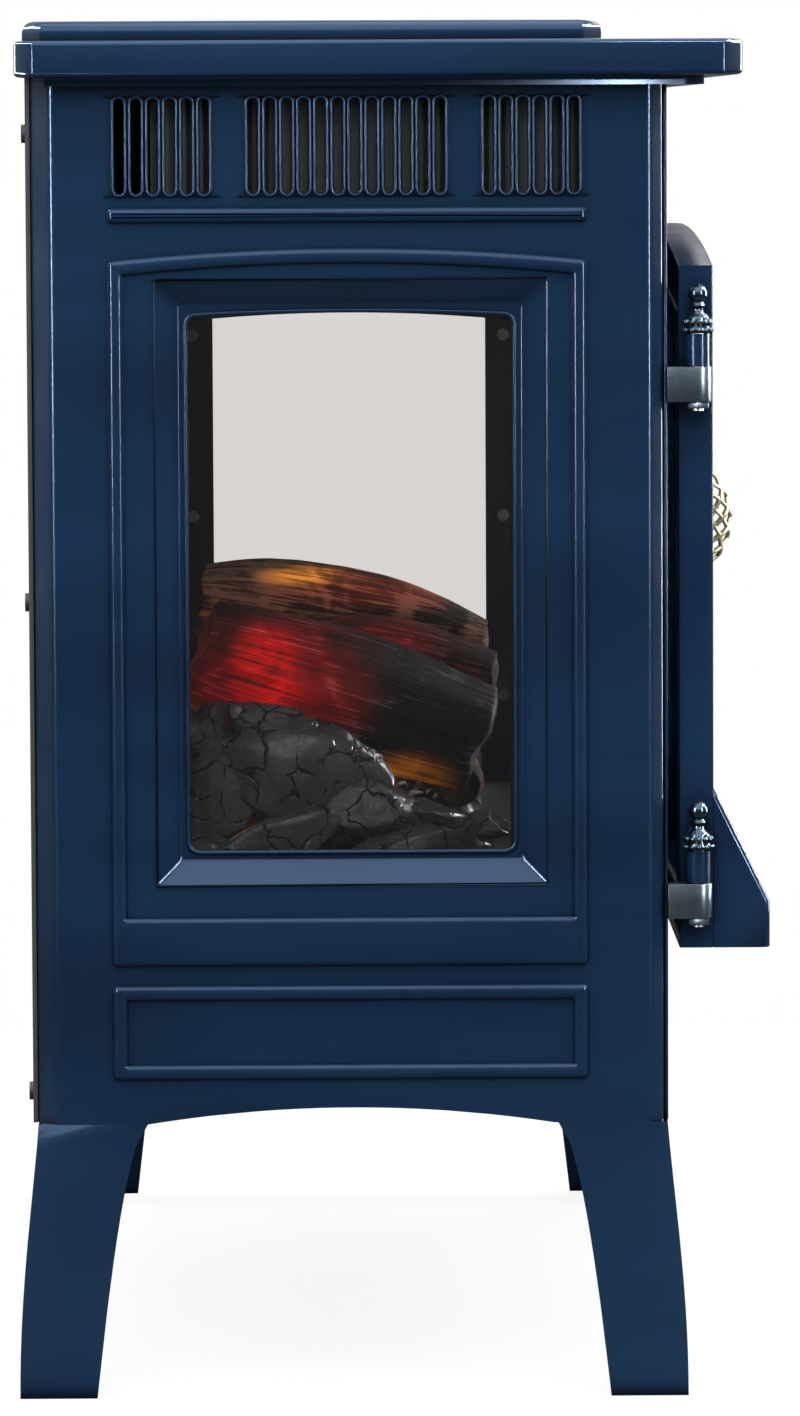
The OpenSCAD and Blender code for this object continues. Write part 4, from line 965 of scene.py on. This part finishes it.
class STOVE_OT_handle(bpy.types.Operator):
    """Weave the bowed handle from wires that wind both ways"""

    bl_idname = "stove.handle"
    bl_label = "Handle"

    def execute(self, context):
        look = context.scene.stove_metal
        low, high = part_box("door_handle")
        centre_x = (low.x + high.x) / 2
        centre_z = (low.z + high.z) / 2
        grip = 5.2 * MM
        sweep = 33.2 * MM  # from the middle of the bow's circle to its front
        bow = sweep - 5 * MM
        hub = Vector((centre_x, low.y + sweep, centre_z))
        reach = math.acos((hub.y - high.y) / bow)
        data = bpy.data.curves.new("wires", "CURVE")
        data.dimensions = "3D"
        data.bevel_depth = 0.95 * MM
        data.bevel_resolution = 3
        data.use_fill_caps = True
        steps = 64
        for way in (-1, 1):
            for i in range(look.strand_count):
                spline = data.splines.new("POLY")
                spline.points.add(steps)
                for k in range(steps + 1):
                    t = k / steps
                    along = reach * (2 * t - 1)
                    swell = 0.55 + 0.45 * math.sin(math.pi * t) ** 0.7
                    around = ALL_AROUND * (i / look.strand_count + way * look.strand_turns * t)
                    weave = 0.35 * MM * way * math.sin(look.strand_count * around)
                    radius = grip * swell + weave
                    out = Vector((0, -math.cos(along), math.sin(along)))
                    point = (hub + out * (bow + radius * math.cos(around))
                             + Vector((radius * math.sin(around), 0, 0)))
                    spline.points[k].co = (*point, 1)
        wires = bpy.data.objects.new("wires", data)
        mesh = bpy.data.meshes.new_from_object(wires)
        bpy.data.objects.remove(wires)
        shape = bmesh.new()
        shape.from_mesh(mesh)
        bpy.data.meshes.remove(mesh)
        half = bow * math.sin(reach)
        thick = 3.4 * MM
        for side in (-1, 1):
            foot = bmesh.new()
            bmesh.ops.create_cone(foot, cap_ends=True, segments=32, radius1=6.4 * MM,
                                  radius2=4.6 * MM, depth=thick)
            round_edges(foot, 0.7 * MM)
            at = Matrix.Translation((centre_x, high.y - thick / 2, centre_z + side * half))
            bmesh.ops.transform(foot, matrix=at @ Matrix.Rotation(math.pi / 2, 4, "X"),
                                verts=foot.verts)
            join(shape, foot)
        for v in shape.verts:
            v.co.y = min(v.co.y, high.y)
        piece("door_handle_woven", shape, "right_door", plated_wire(),
              ["door_handle"], 60)
        return {"FINISHED"}


class STOVE_OT_logs(bpy.types.Operator):
    """Mould the five logs with their bark, broken ends and glowing skins"""

    bl_idname = "stove.logs"
    bl_label = "Logs"

    def execute(self, context):
        look = context.scene.stove_fire
        glow = look.glow
        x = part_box("main_log")[0].x
        # lamps: where each is, how far it reaches along X, Y and Z, its colour and its power
        red_spots = [
            ((x, 0.057, 0.309), (0.09, 0.022, 0.028), look.red, 0.8 * glow),
            ((x, 0.048, 0.305), (0.09, 0.052, 0.042), linear("a80606"), 0.5 * glow),
            ((x, -0.003, 0.260), (0.09, 0.030, 0.016), look.amber, 0.42 * glow),
            ((x, 0.085, 0.290), (0.09, 0.04, 0.06), linear("6a0402"), 0.3 * glow)]
        glowing = moulded_log("glowing resin log", linear("1c1516"), linear("5c5755"), 0.18,
                              red_spots, 0.42)
        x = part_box("top_log")[0].x
        streaks = [
            ((x, 0.040, 0.345), (0.06, 0.030, 0.006), linear("e08a24"), 0.8 * glow),
            ((x, 0.000, 0.340), (0.06, 0.075, 0.014), linear("a83a22"), 0.45 * glow)]
        barked = moulded_log("barked resin log", linear("38201b"), look.fibre, 0.36, streaks, 0.5)
        maroon = moulded_log("maroon resin log", linear("300f14"), linear("8a4038"), 0.25, [
            ((-0.14, 0.005, 0.318), (0.06, 0.035, 0.020), linear("8a1414"), 0.4 * glow)], 0.5)
        charred = moulded_log("charred resin log", linear("1c1a1a"), linear("66605a"), 0.12, [
            ((0.02, 0.02, 0.262), (0.08, 0.04, 0.02), look.amber, 0.5 * glow),
            ((0.13, 0.02, 0.25), (0.06, 0.04, 0.02), look.red, 0.6 * glow)], 0.55)
        # node, radius in mm, finish, slot, seed, roughness in mm, taper of each end, bow in mm
        plan = (
            ("main_log", 28, glowing, "glowing_log", 1, 2.2, (0.86, 0.9), 2),
            ("top_log", 17, barked, "bark_log", 2, 1.6, (1.05, 0.6), 11),
            ("branch_log", 14, maroon, "glowing_log", 3, 1.4, (0.75, 0.85), 4),
            ("charred_log", 33, charred, "charred_log", 4, 3.0, (0.9, 0.9), 0),
            ("front_log", 12, barked, "bark_log", 5, 1.4, (0.8, 0.8), 0))
        for node, radius, finish, slot, seed, rough, ends, bow in plan:
            a, b = self.axis(node)
            shape = self.log(a, b, radius * MM, look.seed * 31 + seed, rough * MM, ends)
            for v in shape.verts:
                along = (v.co - a).dot(b - a) / (b - a).length_squared
                v.co.z += bow * MM * max(0, 1 - (2 * along - 1) ** 2)
            made = piece(node + "_moulded", shape, "cabinet", finish, [node], 60)
            self.keep_grain(made, a, b)
        return {"FINISHED"}

    def axis(self, node):
        """Both ends of a log's axis: its box's if it lies along X, else its CAD caps' middles."""
        low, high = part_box(node)
        centre = (low + high) / 2
        if high.x - low.x > high.y - low.y:
            return Vector((low.x, centre.y, centre.z)), Vector((high.x, centre.y, centre.z))
        points = [v.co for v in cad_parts[node].data.vertices]
        rear = [p for p in points if p.y > centre.y]
        front = [p for p in points if p.y <= centre.y]
        return sum(rear, Vector()) / len(rear), sum(front, Vector()) / len(front)

    def log(self, a, b, radius, seed, rough, ends):
        """A cylinder with rings, swelling and ridged like bark, and a ragged cut at both ends."""
        span = (b - a).length
        shape = bmesh.new()
        bmesh.ops.create_cone(shape, cap_ends=True, segments=56, radius1=radius, radius2=radius,
                              depth=span)
        long_edges = [e for e in shape.edges
                      if abs(e.verts[0].co.z - e.verts[1].co.z) > span * 0.9]
        bmesh.ops.subdivide_edges(shape, edges=long_edges, cuts=72, use_grid_fill=True)
        # growth rings: share of the radius, and height in millimetres
        rings = ((0.06, 0.8), (0.14, -0.5), (0.2, -0.4), (0.25, 0.3), (0.2, -0.3))
        for cap in [f for f in shape.faces if len(f.verts) > 4]:
            mould(shape, cap, [(radius * run, rise * MM) for run, rise in rings])
        drift = Vector((seed * 3.1, seed * 1.7, seed * 2.3))
        for v in shape.verts:
            t = v.co.z / span + 0.5
            out = Vector((v.co.x, v.co.y, 0))
            share = out.length / radius
            swell = ends[0] + (ends[1] - ends[0]) * t
            swell = 1 - (1 - swell) * abs(2 * t - 1) ** 2 if ends[0] <= 1 else swell
            slow = noise.noise(v.co * 18 + drift)
            angle = math.atan2(v.co.y, v.co.x)
            ridge = noise.fractal(Vector((math.cos(angle) * 4, math.sin(angle) * 4,
                                          v.co.z * 14)) + drift, 0.8, 2.1, 4)
            push = slow * rough * 1.5 + ridge * rough * 0.45
            if share > 1e-4:
                v.co += out.normalized() * (push * share + out.length * (swell - 1))
            v.co.z += noise.noise(Vector((v.co.x, v.co.y, 0)) * 60 + drift) * 2.5 * rough * (
                abs(2 * t - 1) ** 8)
        turn = (b - a).to_track_quat("Z", "Y").to_matrix().to_4x4()
        bmesh.ops.transform(shape, matrix=Matrix.Translation((a + b) / 2) @ turn,
                            verts=shape.verts)
        return shape

    def keep_grain(self, made, a, b):
        """Stores where each point lies along, around and out from the log's axis."""
        grain = made.data.attributes.new("grain", "FLOAT_VECTOR", "POINT")
        turn = (b - a).to_track_quat("Z", "Y").inverted()
        for v, kept in zip(made.data.vertices, grain.data):
            at = turn @ (v.co - a)
            kept.vector = (at.z, math.atan2(at.y, at.x) * 0.025, math.hypot(at.x, at.y))


class STOVE_OT_embers(bpy.types.Operator):
    """Heap the coals on the ember bed"""

    bl_idname = "stove.embers"
    bl_label = "Ember Bed"

    def execute(self, context):
        look = context.scene.stove_fire
        low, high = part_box("ember_bed")
        dice = random.Random(look.seed)
        shape = bmesh.new()
        bed = bmesh.new()
        bmesh.ops.create_cube(bed, size=1.0, matrix=Matrix.Translation(
            ((low.x + high.x) / 2, (low.y + high.y) / 2, low.z + 5 * MM)) @ Matrix.Diagonal(
                (high.x - low.x - 6 * MM, high.y - low.y - 6 * MM, 10 * MM, 1)))
        bmesh.ops.subdivide_edges(bed, edges=bed.edges, cuts=12, use_grid_fill=True)
        for v in bed.verts:
            v.co.z += noise.noise(v.co * 60) * 3 * MM if v.co.z > low.z + 8 * MM else 0
        join(shape, bed)
        for i in range(look.coal_count):
            size = Vector((dice.uniform(9, 20), dice.uniform(9, 16), dice.uniform(7, 12))) * MM
            at = Vector((dice.uniform(low.x + 12 * MM, high.x - 12 * MM),
                         dice.uniform(low.y + 10 * MM, high.y - 10 * MM),
                         low.z + dice.uniform(10, 15) * MM))
            self.coal(shape, at, size, dice, 2)
        # the heap that leans against the main log, in front of the left window
        heap = (((-214, 81, 276), (12, 15, 24)), ((-229, 40, 262), (13, 40, 27)),
                ((-232, 78, 258), (12, 18, 24)), ((-230, 8, 249), (13, 26, 17)),
                ((-219, 58, 287), (9, 23, 14)), ((-232, -20, 245), (11, 16, 9)),
                ((-230, -40, 243), (10, 12, 7)), ((-235, 60, 232), (10, 40, 12)),
                ((-237, 82, 228), (8, 20, 14)), ((-235, 0, 230), (10, 44, 10)))
        for at, size in heap:
            self.coal(shape, Vector(at) * MM, Vector(size) * MM, dice, 4, 0.4)
        piece("ember_bed_coals", shape, "cabinet", glazed_coal(), ["ember_bed"], 40)
        return {"FINISHED"}

    def coal(self, shape, at, size, dice, fine, spin=3.0):
        """One lump: a ball pressed flat in a few places, then roughened."""
        lump = bmesh.new()
        bmesh.ops.create_icosphere(lump, subdivisions=fine, radius=1.0)
        flats = [(Vector((dice.gauss(0, 1), dice.gauss(0, 1), dice.gauss(0, 1))).normalized(),
                  dice.uniform(0.55, 0.85)) for i in range(9)]
        drift = Vector((dice.uniform(0, 50), dice.uniform(0, 50), dice.uniform(0, 50)))
        for v in lump.verts:
            for way, reach in flats:
                over = v.co.dot(way) - reach
                if over > 0:
                    v.co -= way * over * 0.9
            v.co *= 1 + 0.12 * noise.noise(v.co * 2.5 + drift) + 0.04 * noise.noise(
                v.co * 9 + drift)
        angles = [dice.uniform(-spin, spin) for i in range(3)]
        if spin < 1:
            # the heap's coals keep their long side along the window
            angles = [dice.uniform(-spin, spin), 0, 0]
        turn = Euler(angles).to_matrix().to_4x4()
        bmesh.ops.transform(lump, matrix=Matrix.Translation(at) @ turn @ Matrix.Diagonal(
            (*size, 1)), verts=lump.verts)
        join(shape, lump)


class STOVE_OT_finishes(bpy.types.Operator):
    """Give the CAD parts that keep their own shape their materials"""

    bl_idname = "stove.finishes"
    bl_label = "Finishes of the Other Parts"

    def execute(self, context):
        # name, colour, roughness, grain in mm, relief in mm, metallic, and the parts it is on
        coats = (
            ("heat-proof black paint", "101112", 0.55, 1.5, 0.08, 0.0,
             ("back_panel", "base_pan", "left_window_retainer", "right_window_retainer",
              "firebox_back", "firebox_ceiling", "firebox_floor", "outlet_grille",
              "back_screws", "blower_housing", "blower_wheel")),
            ("moulded black plastic", "0e0f10", 0.32, 0.8, 0.03, 0.0,
             ("control_panel", "power_rocker")),
            ("green circuit board", "1d4a2c", 0.4, 2.0, 0.05, 0.0,
             ("ember_light_board", "flame_light_board", "control_board")),
            ("white nylon", "e6e2d8", 0.5, 1.0, 0.03, 0.0, ("rotor_bearing",)),
            ("steatite ceramic", "d9cfb8", 0.6, 0.8, 0.05, 0.0,
             ("tube_holders", "thermal_cutoff")),
            ("grey moulded buttons", "b9bcbd", 0.45, 0.7, 0.03, 0.0,
             ("power_button", "flame_button", "heat_button")),
            ("black rubber", "121212", 0.75, 0.6, 0.05, 0.0, ("cord_gland",)),
            ("frosted quartz", "e8c9b6", 0.3, 2.0, 0.02, 0.0, ("quartz_tubes",)),
            ("sintered magnet", "3a3a3d", 0.5, 0.6, 0.05, 0.6, ("magnet_catches",)))
        # name, colour, roughness, width of a scratch in mm, and the parts it is on
        metals = (
            ("zinc-plated steel", "b8bcc0", 0.32, 2.0,
             ("retainer_screws", "leg_bolts", "hinge_pins", "heater_box", "blower_motor")),
            ("mirror foil", "dcdcdc", 0.12, 3.0, ("flame_rotor",)),
            ("motor shell", "c4b070", 0.35, 2.0, ("rotor_motor",)))
        finishes = [(painted(*values), nodes) for *values, nodes in coats]
        finishes += [(bright_metal(*values), nodes) for *values, nodes in metals]
        finishes += [(pane_glass(), ("left_window_glass", "right_window_glass",
                                     "left_door_glass", "right_door_glass")),
                     (flame_film(), ("flame_screen",))]
        for finish, nodes in finishes:
            for node in nodes:
                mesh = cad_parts[node].data
                mesh.materials.clear()
                mesh.materials.append(finish)
        return {"FINISHED"}


class STOVE_PT_pieces(bpy.types.Panel):
    """Lists the stove's pieces in the sidebar"""

    bl_label = "Stove"
    bl_idname = "STOVE_PT_pieces"
    bl_space_type = "VIEW_3D"
    bl_region_type = "UI"
    bl_category = "Stove"

    def draw(self, context):
        for operator in OPERATORS:
            self.layout.operator(operator.bl_idname)
        for name in SETTINGS:
            group = getattr(context.scene, name)
            box = self.layout.box()
            for field in group.__annotations__:
                box.prop(group, field)


OPERATORS = (STOVE_OT_studio, STOVE_OT_side_panels, STOVE_OT_top, STOVE_OT_shell, STOVE_OT_doors,
             STOVE_OT_hinges, STOVE_OT_handle, STOVE_OT_logs, STOVE_OT_embers, STOVE_OT_finishes)
SETTINGS = {"stove_studio": StudioSettings, "stove_enamel": EnamelSettings,
            "stove_metal": MetalSettings, "stove_fire": FireSettings}


def register():
    for group in SETTINGS.values():
        bpy.utils.register_class(group)
    for operator in (*OPERATORS, STOVE_PT_pieces):
        bpy.utils.register_class(operator)
    for name, group in SETTINGS.items():
        setattr(bpy.types.Scene, name, bpy.props.PointerProperty(type=group))


def unregister():
    for name in SETTINGS:
        delattr(bpy.types.Scene, name)
    for made in (*OPERATORS, STOVE_PT_pieces, *SETTINGS.values()):
        bpy.utils.unregister_class(made)


def main():
    register()
    for operator in OPERATORS:
        group, name = operator.bl_idname.split(".")
        getattr(getattr(bpy.ops, group), name)()


if __name__ == "__main__":
    main()
